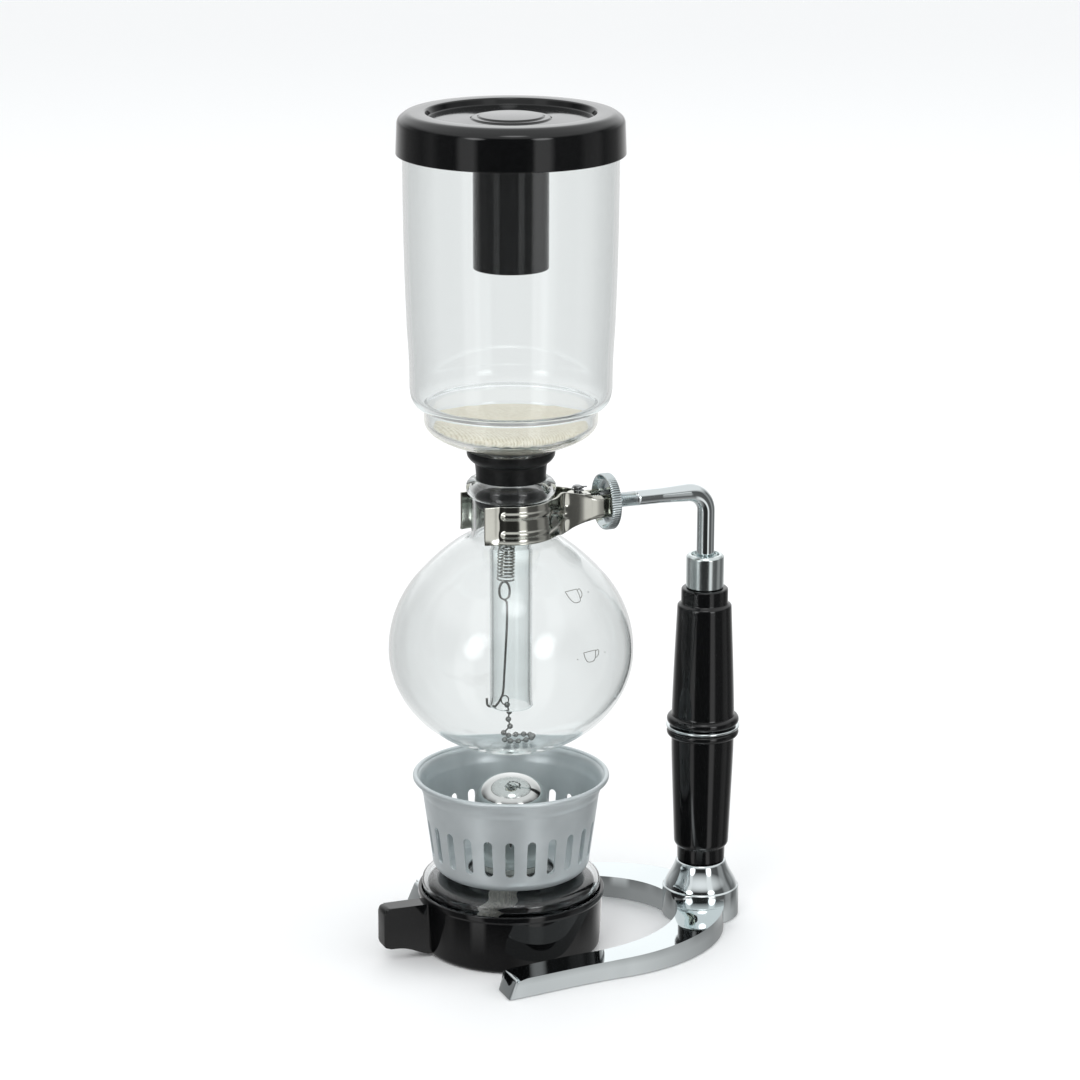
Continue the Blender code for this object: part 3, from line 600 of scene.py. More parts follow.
def cotton_look(name, color, pitch=0.0009):
    """Twisted or braided cotton: slanting strands round the Z axis."""
    look = Look(name, color, 0.95)
    look.set("Sheen Weight", 0.3)
    slant = look.plus(look.axis("X"), look.axis("Z"))
    other = look.minus(look.axis("Y"), look.axis("Z"))
    one = look.math("SINE", look.times(slant, 2 * pi / pitch))
    two = look.math("SINE", look.times(other, 2 * pi / pitch))
    strands = look.plus(look.times(one, two), look.noise(1800.0, 4.0))
    dark = tuple(c * 0.55 for c in color)
    look.link(look.ramp(strands, ((0.0, dark), (0.8, color))), "Base Color")
    look.bump(strands, 0.00025, 0.8)
    return look.material


# --- glass -----------------------------------------------------------------

def globe_side(radius, crown, bottom, mid_z, neck, neck_z, wall):
    """One side of the globe's wall, from the straight neck down to the axis."""
    angle = radians(42)
    thin = wall * 0.72
    width = radius - thin
    height = crown - thin
    depth = mid_z - bottom - thin
    fold = (18.8 - wall * 0.6, mid_z + 46.4 - wall * 0.9)
    place = (width * cos(angle), mid_z + height * sin(angle))
    side = bezier((neck - wall, neck_z), (neck - wall, neck_z - 4.6),
                  (neck + 0.3 - wall * 0.8, neck_z - 4.9 - wall * 0.8), fold, 12)
    over_shoulder = (31.8 - wall * 0.7, neck_z - 15.0 - wall * 0.7)
    side += bezier(fold, (fold[0] + 3.8, fold[1] - 1.2), over_shoulder, place, 18)[1:]
    side += ellipse(width, height, mid_z, 42, 0, 22)[1:]
    side += ellipse(width, depth, mid_z, 0, -90, 34)[1:-1]
    side.append((0.0, mid_z - depth))
    return side


def build_globe(look):
    radius = high("globe").x
    bottom = low("globe").z
    rim = high("globe").z
    bead = 3.8
    bead_at = (14.3, rim - bead)
    neck = 15.9
    neck_in = neck - WALL
    mid_z = bottom + GLOBE_DROP
    shape = (radius, GLOBE_RISE, bottom, mid_z, neck, rim - 19.0)
    outer = globe_side(*shape, 0.0)
    inner = list(reversed(globe_side(*shape, WALL)))
    mouth = bezier((neck_in, rim - 11.0), (neck_in, rim - 6.0),
                   (neck_in - 0.2, rim - 2.5), (neck_in + 0.1, rim - 0.1), 6)
    ball = arc(*bead_at, bead, 86, -62, 20)
    waist = bezier((neck + 0.35, rim - 7.25), (neck + 0.05, rim - 7.7),
                   (neck, rim - 8.2), (neck, rim - 9.2), 4)
    outline = inner + mouth + ball + waist + outer
    return turned("globe", outline, look, sharp=60)


def mark_point(across, up, azimuth, height):
    """Point just outside the globe's wall, by millimetres along it from a mark's middle."""
    mid_z = low("globe").z + GLOBE_DROP
    z = height + up
    reach = GLOBE_RISE if z > mid_z else GLOBE_DROP
    radius = high("globe").x * sqrt(1.0 - ((z - mid_z) / reach) ** 2) + 0.03
    turn = radians(azimuth) + across / radius
    return Vector((radius * cos(turn), radius * sin(turn), z))


def mark_line(path, azimuth, height):
    """One printed stroke."""
    return sweep("stroke", [mark_point(u, v, azimuth, height) for u, v in path], 0.15, 6)


def build_level_mark(azimuth, height, dots):
    """Printed cup outline with a handle and dots on the line of its level."""
    cup = bezier((-3.3, 2.0), (-3.2, -0.6), (-2.2, -2.0), (-0.9, -2.1), 8)
    cup += bezier((0.7, -2.1), (2.0, -2.0), (2.6, -0.6), (2.7, 2.0), 8)
    cup += [(-0.3, 2.05), (-3.3, 2.0)]
    handle = [(2.65, 1.6)] + bezier((4.2, 1.9), (4.9, 0.6), (4.0, -0.6), (2.3, -1.0), 8)
    strokes = [mark_line(cup, azimuth, height), mark_line(handle, azimuth, height)]
    for across in dots:
        dot = [(across - 0.2, 0.1), (across, -0.1), (across + 0.2, 0.1)]
        strokes.append(mark_line(dot, azimuth, height))
    return strokes


def build_level_marks(look):
    """Two cup marks on the globe's front."""
    strokes = build_level_mark(-70.0, 157.0, (8.0,)) + build_level_mark(-71.5, 135.0, (-6.6, 8.0))
    marks = joined("globe_marks", strokes)
    marks.data.materials.clear()
    marks.data.materials.append(look)
    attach(marks, NODE_BODY["globe"])
    return marks


def bowl_side(wall):
    """One side of the upper bowl's wall, from its rim down to the top of the stem."""
    top = high("upper_bowl").z
    rim_r = high("upper_bowl").x - wall
    ledge = 34.6 - wall
    side = bezier((rim_r, top), (rim_r, top - 22.0), (rim_r - 0.1, 290.0), (41.4 - wall, 266.0), 8)
    side += bezier((41.2 - wall, 260.0), (40.7 - wall, 252.0), (40.4 - wall, 248.0),
                   (40.3 - wall, 242.0), 5)
    side += bezier((40.3 - wall, 237.5), (40.3 - wall, 230.8 + wall * 0.5),
                   (38.7 - wall * 0.8, 228.5 + wall), (35.8 - wall * 0.7, 227.8 + wall), 18)[1:]
    side += bezier((35.3 - wall * 0.8, 227.6 + wall), (34.8 - wall * 0.9, 227.4 + wall),
                   (ledge, 226.9 + wall * 0.7), (ledge, 225.2 + wall * 0.4), 6)
    side += bezier((ledge, 222.0), (ledge, 216.9 + wall * 0.8), (26.0 - wall * 0.3, 213.6 + wall),
                   (17.0, 210.7 + wall), 20)
    return side


def build_upper_bowl(look):
    stem = 8.5
    stem_in = stem - 1.3
    foot, top = heights("upper_bowl")
    outer = bowl_side(0.0)
    outer += bezier((12.0, 209.1), (10.2, 208.4), (stem, 207.5), (stem, 204.5), 6)
    outer += bezier((stem, foot + 7.0), (stem, foot + 3.0), (stem + 0.1, foot + 1.2),
                    (stem + 0.45, foot + 0.5), 5)
    inner = bowl_side(1.7)
    inner += bezier((11.4, 210.8), (9.2, 210.1), (stem_in, 209.1), (stem_in, 206.1), 6)
    inner += bezier((stem_in, foot + 7.0), (stem_in, foot + 3.0), (stem_in + 0.1, foot + 1.2),
                    (stem_in + 0.45, foot + 0.5), 5)
    lip = arc(stem - 0.2, foot + 0.5, 0.65, 0, -180, 6)[1:-1]
    rim = arc(high("upper_bowl").x - 0.85, top - 0.2, 0.85, 180, 0, 6)[1:-1]
    outline = outer + lip + list(reversed(inner)) + rim
    return turned("upper_bowl", outline, look, sharp=60)


def build_lamp_font(look):
    shoulder = high("lamp_font").x
    foot, top = heights("lamp_font")
    outer = [(11.7, top), (12.6, top), (13.0, top - 0.4)]
    outer += bezier((13.0, 34.6), (13.0, 32.8), (14.4, 31.9), (17.0, 31.7), 5)
    outer += bezier((24.0, 31.5), (30.5, 31.3), (shoulder, 31.2), (shoulder, 27.2), 14)
    outer += [(shoulder - 0.1, 26.2), (shoulder - 0.5, 25.0)]
    outer += bezier((34.4, foot + 2.0), (34.3, foot + 0.7), (34.0, foot), (32.6, foot), 5)
    outer += [(0.0, foot)]
    inner = [(0.0, foot + 1.9)]
    inner += bezier((31.6, foot + 1.9), (32.4, foot + 2.0), (32.7, foot + 2.4),
                    (32.8, foot + 3.4), 4)
    inner += [(shoulder - 2.4, 25.0)]
    inner += bezier((shoulder - 2.0, 27.0), (shoulder - 2.0, 29.3), (30.0, 29.5), (24.0, 29.7), 10)
    inner += bezier((15.0, 29.9), (12.4, 30.1), (11.3, 31.0), (11.3, 33.4), 5)
    inner += [(11.3, top - 0.3)]
    return turned("lamp_font", inner + outer, look, sharp=50)


# --- lid and gasket --------------------------------------------------------

def build_lid(look):
    top = high("lid").z
    skirt = low("lid").z + 45.3
    tube_foot = low("lid").z
    edge = high("lid").x
    under = top - 5.3
    corners = [
        (0.0, top - 1.5), (12.6, top - 1.5, 0.5), (13.2, top - 2.1, 0.3), (15.3, top - 2.1, 0.3),
        (15.9, top - 2.7, 0.3), (32.6, top - 2.7, 0.5), (33.5, top, 0.7), (40.8, top, 1.4),
        (44.5, top - 2.6, 1.8), (edge, skirt, 0.5), (edge - 1.7, skirt, 0.4),
        (edge - 2.2, under, 0.6), (15.8, under, 0.8), (15.0, under - 1.2, 0.6),
        (15.0, tube_foot, 0.35), (13.4, tube_foot, 0.35), (13.4, under, 0.6), (0.0, under),
    ]
    return turned("lid", filleted(corners, closed=False, count=5), look, sharp=25)


def build_gasket(look):
    flange = high("gasket").x
    foot = low("gasket").z
    corners = [
        (flange, 210.0, 0.5), (flange, 207.6, 1.0), (16.2, 205.6, 0.8), (14.6, 204.7, 0.4),
        (14.3, 202.9, 0.4), (13.9, 198.2, 0.6), (13.9, 188.2, 0.6), (12.9, foot, 0.5),
        (8.75, foot, 0.3), (8.75, 205.1, 0.4), (11.9, 208.5, 0.4),
    ]
    return turned("gasket", filleted(corners, count=4), look, steps=96)


# --- filter ----------------------------------------------------------------

def build_filter_cloth(look):
    """Pouch of cloth: taut on top, soft at the edge, pleated where the drawstring gathers it."""
    top = high("filter_cloth").z
    edge = high("filter_cloth").x
    pleats = 34

    def gather(r, z, turn):
        depth = max(0.0, min(1.0, (top - 1.8 - z) / 4.0))
        fold = 0.32 * depth * sin(pleats * turn + 1.3 * sin(3 * turn))
        ease = 0.05 * sin(5 * turn + r * 0.4) * min(1.0, r / 12.0)
        return r + 0.12 * depth * sin(7 * turn), z + fold + ease

    outer = [(0.0, top - 0.1)]
    outer += [(r, top - 0.1 - 0.12 * (r / 26.0) ** 2) for r in (4, 8, 12, 16, 20, 23.5)]
    outer += bezier((26.5, top - 0.25), (29.2, top - 0.4), (edge, top - 1.1), (edge, top - 2.5), 8)
    outer += bezier((edge - 0.1, top - 3.0), (edge - 0.6, top - 4.3), (28.4, top - 4.8),
                    (26.5, top - 5.1), 5)
    outer += [(24.0, top - 5.5), (20.0, top - 6.1), (16.4, top - 6.75)]
    inner = [(16.2, top - 6.35), (20.0, top - 5.6), (26.5, top - 4.5), (29.0, top - 3.6)]
    inner += [(29.9, top - 2.5), (29.2, top - 1.4), (26.4, top - 0.85), (12.0, top - 0.8)]
    inner += [(0.0, top - 0.8)]
    return turned("filter_cloth", outer + inner, look, steps=204, warp=gather, sharp=70)


def build_drawstring(look):
    """Cord drawn round the hem, closed with a small knot and two short ends."""
    ring_r = middle("filter_drawstring").x + (high("filter_drawstring").x - 0.5)
    ring_z = middle("filter_drawstring").z
    strand = 0.42

    def twist(length, angle):
        return strand * (1 + 0.13 * sin(3 * (angle + length * 2.4)))

    loop = []
    for i in range(121):
        turn = 2 * pi * i / 120
        lift = 0.08 * sin(9 * turn)
        loop.append((ring_r * cos(turn), ring_r * sin(turn), ring_z + lift))
    cord = sweep("cord", loop, twist, 12)
    knot_points = []
    for i in range(33):
        turn = 4 * pi * i / 32
        x = ring_r - 0.7 + 0.5 * cos(turn)
        knot_points.append((x, 0.7 * sin(turn), ring_z + 0.35 * sin(turn / 2)))
    knot = sweep("knot", knot_points, 0.32, 8)
    ends = []
    for side in (-1, 1):
        tail = bezier((ring_r - 1.2, 0.5 * side), (ring_r - 3.0, 1.5 * side),
                      (ring_r - 4.5, 1.0 * side), (ring_r - 5.5, 3.4 * side), 12)
        ends.append(sweep("end", [(x, y, ring_z + 0.15) for x, y in tail], 0.3, 8))
    piece = joined("filter_drawstring_finished", [cord, knot] + ends)
    return stand_in(piece, "filter_drawstring", look)


def hook_side():
    """Direction from the axis to the side of the stem's rim that the hook grips."""
    spot = middle("hook_wire")
    side = Vector((spot.x, spot.y, 0.0))
    return side.normalized()


def on_hook_side(d, z):
    """Point at a distance from the axis towards the hook."""
    return hook_side() * d + Vector((0.0, 0.0, z))


def build_filter_spring(look):
    """Close-wound tension spring, drawn aside at its foot; a fixed mesh, though the real one
    stretches as the filter is raised.
    """
    top = high("filter_spring").z - 0.4
    bottom = low("filter_spring").z + 0.4
    coil_r = 3.35
    lean = 2.2
    turns = 43
    per_turn = 20
    points = []
    for i in range(13):
        t = i / 12
        points.append((coil_r * t, 0.0, top + 1.2 - 1.2 * t * t))
    count = turns * per_turn
    for i in range(1, count + 1):
        turn = 2 * pi * i / per_turn
        centre = on_hook_side(lean * i / count, top + (bottom - top) * i / count)
        coil = Vector((coil_r * cos(turn), coil_r * sin(turn), 0.0))
        points.append(tuple(centre + coil))
    piece = sweep("filter_spring_finished", points, 0.36, 8)
    piece.data.materials.append(look)
    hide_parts("filter_spring")
    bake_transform(piece)
    return piece


def build_hook_wire(look):
    """Round wire: an oval eye in the spring's foot, a long leg, and a hook round the rim."""
    foot = low("hook_wire").z
    rim_r = 8.3
    bend_z = foot + 1.9
    eye = [(2.6 + 2.1 * sin(a), 151.6 + 3.6 * cos(a)) for a in
           [radians(-205 + 20 * i) for i in range(20)]]
    leg = bezier((1.7, 146.6), (1.2, 138.0), (2.4, 124.0), (3.0, 110.0), 26)
    leg += bezier((3.3, 107.2), (3.9, 105.4), (4.8, 103.6), (6.3, 101.9), 8)
    bend = arc(rim_r, bend_z, 1.45, 215, 360, 12)
    tip = [(rim_r + 1.5, foot + 3.0), (rim_r + 1.6, foot + 4.0)]
    points = [on_hook_side(d, z) for d, z in eye + leg + bend + tip]
    return stand_in(sweep("hook_wire_finished", points, 0.48, 10), "hook_wire", look)


def chain_centres():
    """Bead centres: down from the hook, then one loose loop on the floor of the globe."""
    side = hook_side()
    across = Vector((side.y, -side.x, 0.0))
    centres = [on_hook_side(d, z) for d, z in ((1.6, 102.6), (0.7, 99.4), (1.1, 96.1), (0.4, 93.0))]
    loop_middle = side * -2.8
    for i in range(11):
        turn = radians(20 + 31 * i)
        spot = loop_middle + side * 6.2 * cos(turn) + across * 4.2 * sin(turn)
        spot.z = 87.5 + 0.012 * (spot.x ** 2 + spot.y ** 2) + (1.9 if i == 0 else 0.0)
        centres.append(spot)
    return centres


def build_ball_chain(look):
    """Hollow beads on short dumb-bell links, hung from the wire by a small ring."""
    bead_r = 1.2
    centres = chain_centres()
    shape = bmesh.new()
    for centre in centres:
        place = Matrix.Translation(centre * MM)
        bmesh.ops.create_uvsphere(
            shape, u_segments=18, v_segments=12, radius=bead_r * MM, matrix=place,
        )
    beads = finish_mesh("beads", shape, 80)
    links = [sweep("link", (a, (a + b) / 2, b), 0.34, 8) for a, b in zip(centres, centres[1:])]
    ring = []
    for i in range(25):
        turn = 2 * pi * i / 24
        ring.append(on_hook_side(2.5 + 1.5 * cos(turn), 104.6 + 1.9 * sin(turn)))
    links.append(sweep("eye", ring, 0.28, 8, caps=False))
    return stand_in(joined("ball_chain_finished", [beads] + links), "ball_chain", look)


def build_filter_plate(look):
    """Dished, perforated disc."""
    edge = high("filter_plate").x
    base = low("filter_plate").z
    hole_r = 2.8
    top = base + 0.8
    corners = [(edge, top, 0.3), (edge, base, 0.3), (hole_r, base, 0.15), (hole_r, top, 0.15)]
    disc = lathe("filter_plate_finished", filleted(corners, count=3), steps=96)
    drills = bmesh.new()
    for ring_r, count in ((6.0, 6), (10.5, 12), (15.0, 16), (19.5, 22), (23.6, 26)):
        for i in range(count):
            turn = 2 * pi * i / count
            centre = (ring_r * cos(turn), ring_r * sin(turn), base + 0.4)
            add_peg(drills, centre, 0.75, 3.0, 14)
    boolean(disc, finish_mesh("drills", drills), "DIFFERENCE")
    return stand_in(disc, "filter_plate", look)


def build_filter_stud(look):
    foot, top = heights("filter_stud")
    corners = [
        (0.0, top), (2.6, top, 0.3), (4.2, top - 0.7, 0.3), (4.2, top - 0.9, 0.1), (2.4, top - 0.9),
        (2.4, top - 2.3), (4.2, top - 2.3, 0.2), (4.2, foot + 4.4, 0.3), (1.5, foot + 4.2, 0.3),
        (1.2, foot + 1.4, 0.3), (1.6, foot + 0.8, 0.4), (1.2, foot, 0.4), (0.0, foot),
    ]
    return turned("filter_stud", filleted(corners, closed=False, count=3), look, steps=40)


# --- stand -----------------------------------------------------------------

def base_outline():
    """Horseshoe, open towards -X: half ellipses round the nose and gently spreading arms."""
    tip_x = low("base").x
    outer_y = 59.0
    inner_y = 46.6
    outer = bezier((28.0, -54.0), (12.0, -54.0), (-4.0, -57.1), (tip_x, -outer_y), 14)[::-1]
    outer += [(28.0 + 64.0 * cos(a), 54.0 * sin(a)) for a in
              [radians(-90 + 180 * i / 72) for i in range(1, 72)]]
    outer += bezier((28.0, 54.0), (12.0, 54.0), (-4.0, 57.1), (tip_x, outer_y), 14)
    inner = bezier((20.0, 42.0), (6.0, 42.0), (-8.0, 45.2), (tip_x, inner_y), 14)[::-1]
    inner += [(20.0 + 52.0 * cos(a), 42.0 * sin(a)) for a in
              [radians(90 - 180 * i / 64) for i in range(1, 64)]]
    inner += bezier((20.0, -42.0), (6.0, -42.0), (-8.0, -45.2), (tip_x, -inner_y), 14)
    return outer + inner


def shape_horseshoe(outline, height, nose_height):
    """Raise the outline, let the top climb to the nose and lean the open ends back."""
    tip_x = low("base").x
    shape = bmesh.new()
    bottom = [shape.verts.new((x * MM, y * MM, 0.0)) for x, y in outline]
    top = []
    for x, y in outline:
        share = min(max((x - 20.0) / 60.0, 0.0), 1.0)
        lean = 3.5 if x < tip_x + 1.0 else 0.0
        z = height + (nose_height - height) * share
        top.append(shape.verts.new(((x + lean) * MM, y * MM, z * MM)))
    top_face = close_prism(shape, bottom, top)[1]
    corners = [e for e in shape.edges
               if abs(e.verts[0].co.z - e.verts[1].co.z) > 4.0 * MM
               and min(v.co.x for v in e.verts) < (tip_x + 1.0) * MM]
    rim = list(top_face.edges) + corners
    bmesh.ops.bevel(shape, geom=rim, offset=1.3 * MM, segments=4, affect="EDGES", profile=0.6)
    lower = [e for e in shape.edges if all(abs(v.co.z) < 1e-7 for v in e.verts)]
    bmesh.ops.bevel(shape, geom=lower, offset=0.35 * MM, segments=2, affect="EDGES")
    return finish_mesh("horseshoe", shape, 24)


def build_base(look):
    horseshoe = shape_horseshoe(base_outline(), 8.0, 10.0)
    pedestal_r = high("base").x - HANDLE_X
    top = high("base").z
    outline = [(0.0, top)] + [(9.5, top), (10.0, top - 0.1), (10.4, top - 0.45)]
    outline += bezier((10.7, top - 1.2), (12.0, 18.8), (14.4, 16.2), (15.2, 13.6), 16)
    outline += bezier((15.3, 13.2), (15.5, 12.9), (pedestal_r, 12.9), (pedestal_r, 12.3), 4)
    outline += [(pedestal_r, 0.4), (pedestal_r - 0.4, 0.0), (0.0, 0.0)]
    bell = lathe("bell", outline, steps=96, at=ON_HANDLE)
    boolean(horseshoe, bell, "UNION")
    bore = HANDLE_BORE
    socket = [(0.0, 30.0), (bore, 30.0), (bore, 5.7), (2.2, 5.7)]
    socket += [(2.2, 3.0), (4.6, 3.0), (4.6, -1.0), (0.0, -1.0)]
    boolean(horseshoe, lathe("socket", socket, steps=48, at=ON_HANDLE), "DIFFERENCE")
    horseshoe.name = "base_finished"
    return stand_in(flatten_shading(horseshoe), "base", look)


def build_base_screw(look):
    """Socket-head screw in the underside of the pedestal."""
    foot, top = heights("base_screw")
    outline = [(0.0, top), (1.5, top), (1.9, top - 0.5)]
    pitch = 0.78
    for i in range(14):
        z = top - 0.8 - i * pitch
        outline += [(1.9, z), (1.65, z - pitch / 2)]
    outline += [(1.9, foot + 2.0), (4.0, foot + 2.0), (4.2, foot + 1.8)]
    outline += [(4.2, foot + 0.3), (3.9, foot), (0.0, foot)]
    screw = lathe("base_screw_finished", outline, steps=36, at=ON_HANDLE, sharp=24)
    key = peg("hex", (HANDLE_X, 0.0, foot), 1.75, 2.6, 6)
    return stand_in(boolean(screw, key, "DIFFERENCE"), "base_screw", look)


def build_support_arm(look):
    """One rod: an eye under the jaws' ears, a thread for the wheel, a bend and the upright."""
    start_x = low("support_arm").x
    foot = low("support_arm").z
    upright_r = (high("support_arm").x - HANDLE_X)
    rod_r = 3.1
    eye_r = 2.8
    bend = 8.3
    pitch = 1.0
    thread = (34.5, 55.0)
    path = []
    steps = 12
    x = start_x
    while x < 66.0:
        path.append((x, ARM_Z))
        x += pitch / steps if thread[0] <= x <= thread[1] else 0.7
    centre = (HANDLE_X - bend, ARM_Z - bend)
    path += arc(*centre, bend, 90, 0, 20)
    z = centre[1] - 2.0
    while z > foot + 0.5:
        path.append((HANDLE_X, z))
        z -= 4.0
    path.append((HANDLE_X, foot))
    points = [(px, 0.0, pz) for px, pz in path]

    def section(length, angle):
        here = start_x + length
        if length < 0.5:
            return eye_r - 0.5 + length
        if here < 33.5:
            return eye_r
        if thread[0] <= here <= thread[1]:
            phase = (here / pitch + angle / (2 * pi)) % 1.0
            tooth = abs(phase * 2 - 1)
            fade = min(1.0, (here - thread[0]) / 1.2, (thread[1] - here) / 1.6)
            return rod_r - 0.02 - 0.5 * fade * (1 - tooth)
        bend_start = 66.0 - start_x
        share = min(max((length - bend_start) / (bend * 1.6), 0.0), 1.0)
        share = share * share * (3 - 2 * share)
        return rod_r + (upright_r - rod_r) * share

    arm = sweep("support_arm_finished", points, section, sides=40, sharp=50)
    boolean(arm, peg("eye", (PIVOT_X, 0.0, ARM_Z), PIN_HOLE_R, 12.0, 32), "DIFFERENCE")
    boolean(arm, peg("hole", (HANDLE_X, 0.0, foot), 2.1, 22.0, 24), "DIFFERENCE")
    return stand_in(arm, "support_arm", look)


def build_ferrule(look):
    foot, top = heights("grip_ferrule")
    edge = high("grip_ferrule").x - HANDLE_X
    corners = [
        (edge, foot, 0.3), (edge, top - 1.0, 0.4), (6.9, top, 0.4), (5.75, top, 0.25),
        (5.5, top - 1.4, 0.3), (HANDLE_BORE, top - 1.6, 0.15), (HANDLE_BORE, foot),
    ]
    return turned("grip_ferrule", filleted(corners, count=5), look, steps=72, at=ON_HANDLE)


def build_grip_upper(look):
    foot, top = heights("grip_upper")
    bore = HANDLE_BORE
    outline = [(8.6, top), (9.2, top - 0.15), (9.55, top - 0.5), (9.66, top - 1.0)]
    outline += bezier((9.66, top - 6.0), (9.7, top - 6.8), (10.9, top - 6.9), (11.15, top - 7.6), 6)
    outline += bezier((11.25, top - 8.6), (11.8, top - 22.0), (12.4, 110.0), (12.95, 90.5), 14)
    outline += bezier((12.96, 90.0), (12.98, 89.0), (13.0, 88.6), (13.25, 88.2), 4)
    outline += arc(12.95, 86.2, 2.0, 66, -66, 14)
    outline += [(13.3, foot), (bore, foot), (bore, top)]
    return turned("grip_upper", outline, look, steps=96, at=ON_HANDLE, sharp=28)


def build_grip_ring(look):
    edge = high("grip_ring").x - HANDLE_X
    middle_z = middle("grip_ring").z
    outline = [(edge - 0.35, middle_z + 0.55), (edge - 0.06, middle_z + 0.3), (edge, middle_z)]
    outline += [(edge - 0.06, middle_z - 0.3), (edge - 0.35, middle_z - 0.55)]
    outline += [(HANDLE_BORE, middle_z - 0.55), (HANDLE_BORE, middle_z + 0.55)]
    return turned("grip_ring", outline, look, steps=96, at=ON_HANDLE, sharp=60)


def build_grip_lower(look):
    foot, top = heights("grip_lower")
    bore = HANDLE_BORE
    outline = [(13.3, top)]
    outline += arc(13.2, 80.8, 1.75, 66, -66, 12)
    outline += bezier((13.0, 79.0), (12.95, 78.6), (12.98, 77.5), (12.93, 75.0), 5)
    outline += bezier((12.9, 73.0), (12.5, 60.0), (12.1, 52.0), (11.4, 33.6), 14)
    outline += bezier((11.35, 32.6), (11.2, 31.9), (10.9, 31.3), (10.1, 30.6), 6)
    outline += [(10.0, 30.2), (9.85, foot + 0.3), (9.55, foot), (bore, foot), (bore, top)]
    return turned("grip_lower", outline, look, steps=96, at=ON_HANDLE, sharp=28)


# --- clamp -----------------------------------------------------------------

BAND_R = 16.8                      # middle of the jaw's sheet round the neck
JAW_SHEET = 1.1


def jaw_stations():
    """Rows along the sheet, from tail to lip.

    Each holds x, y, the outward direction, the lower and upper edge, curl and flare.
    """
    foot = low("clamp_jaw_front").z + 1.0
    top = foot + 15.4
    rows = [
        (42.0, -5.7, -90, 178.9, 187.8, 1.4, 0.0),
        (35.0, -5.6, -90, 178.8, 187.9, 1.1, 0.0),
        (31.8, -5.2, -90, 178.2, 188.5, 0.3, 0.0),
        (28.7, -5.0, -90, 177.4, 189.4, 0.0, 0.0),
        (24.5, -5.1, -90, 176.0, 190.4, 0.0, 0.0),
        (20.0, -5.7, -85, 173.9, 191.1, 0.0, 0.2),
        (16.4, -8.3, -58, 174.6, 190.2, 0.0, 0.6),
    ]
    for i in range(9):
        angle = -42 - 84 * i / 8
        turn = radians(angle)
        rows.append((BAND_R * cos(turn), BAND_R * sin(turn), angle, foot, top, 0.0, 1.2))
    rows.append((-13.2, -13.3, -97, foot, top, 0.0, 0.8))
    rows.append((-16.5, -12.9, -90, foot, top, 0.0, 0.4))
    return rows


def bell_curve(value, centre, width):
    return exp(-((value - centre) / width) ** 2)


def rib_height(x, share):
    """Embossed ribs: two along the band that meet in a crease at the waist."""
    spread = 0.25 if x < 12.0 else 0.25 - 0.17 * min((x - 12.0) / 9.0, 1.0)
    start = min(max((x + 10.5) / 2.2, 0.0), 1.0)
    end = min(max((24.0 - x) / 4.0, 0.0), 1.0)
    strength = 0.75 * start * end
    ribs = bell_curve(share, 0.5 - spread, 0.075) + bell_curve(share, 0.5 + spread, 0.075)
    crease = 0.8 * bell_curve(x, 20.4, 1.5) * (1 - abs(share - 0.5) * 1.1)
    return strength * ribs - crease * (1 - 0.5 * ribs)


def jaw_surface(side_sign):
    """Middle surface of one jaw as rows of (place, outward) at many heights."""
    rows = smooth_path(jaw_stations(), 7)
    levels = 44
    grid = []
    for x, y, facing, foot, top, curl, flare in rows:
        out = Vector((cos(radians(facing)), sin(radians(facing)), 0.0))
        column = []
        for k in range(levels + 1):
            share = k / levels
            z = foot + (top - foot) * share
            up = z - foot
            low_flare = flare * max(0.0, 1 - up / 4.2) ** 2
            low_curl = curl * max(0.0, 1 - up / 1.8) ** 2
            top_curl = curl * max(0.0, 1 - (top - z) / 1.8) ** 2
            push = low_flare - low_curl - top_curl + rib_height(x, share)
            spot = Vector((x, y, z)) + out * push
            spot.y *= side_sign
            column.append(spot)
        grid.append(column)
    return grid


def sheet_from_grid(name, grid, thickness):
    """Give a grid of points a thickness along its own normals, with rounded rims."""
    shape = bmesh.new()
    columns = [[shape.verts.new(p * MM) for p in column] for column in grid]
    for a, b in zip(columns, columns[1:]):
        for k in range(len(a) - 1):
            shape.faces.new((a[k], a[k + 1], b[k + 1], b[k]))
    thing = finish_mesh(name, shape)
    solid = thing.modifiers.new("sheet", "SOLIDIFY")
    solid.thickness = thickness * MM
    solid.offset = 0.0
    rim = thing.modifiers.new("rim", "BEVEL")
    rim.width = 0.22 * MM
    rim.segments = 2
    rim.angle_limit = radians(60)
    return bake_modifiers(thing, 40)


def ear_outline():
    """Ear with a round end over the pin, drawn towards the front jaw's wall."""
    return arc(0.0, 0.0, 4.0, 0, 180, 24) + [(-4.0, -5.0), (4.0, -5.0)]


def build_jaw(node, side_sign, ears, look):
    jaw = sheet_from_grid(node + "_sheet", jaw_surface(side_sign), JAW_SHEET)
    for z0, z1 in ears:
        outline = [(x + PIVOT_X, y) for x, y in ear_outline()][::side_sign]
        boolean(jaw, extruded("ear", outline, z0, z1), "UNION")
    boolean(jaw, peg("hole", (PIVOT_X, 0.0, ARM_Z), PIN_HOLE_R, 30.0, 32), "DIFFERENCE")
    jaw.name = node + "_finished"
    return stand_in(jaw, node, look)


def build_clamp_pin(look):
    """Rivet with a domed head, peened over below."""
    foot, top = heights("clamp_pin")
    shaft = 1.3
    outline = [(0.0, top)]
    outline += bezier((0.9, top), (1.6, top - 0.1), (2.0, top - 0.4), (2.0, top - 0.75), 5)
    outline += [(shaft, top - 0.8), (shaft, foot + 0.9), (2.4, foot + 0.8), (2.4, foot + 0.3)]
    outline += [(2.0, foot), (0.0, foot)]
    return turned("clamp_pin", outline, look, steps=40, at=(PIVOT_X, 0, 0), sharp=30)


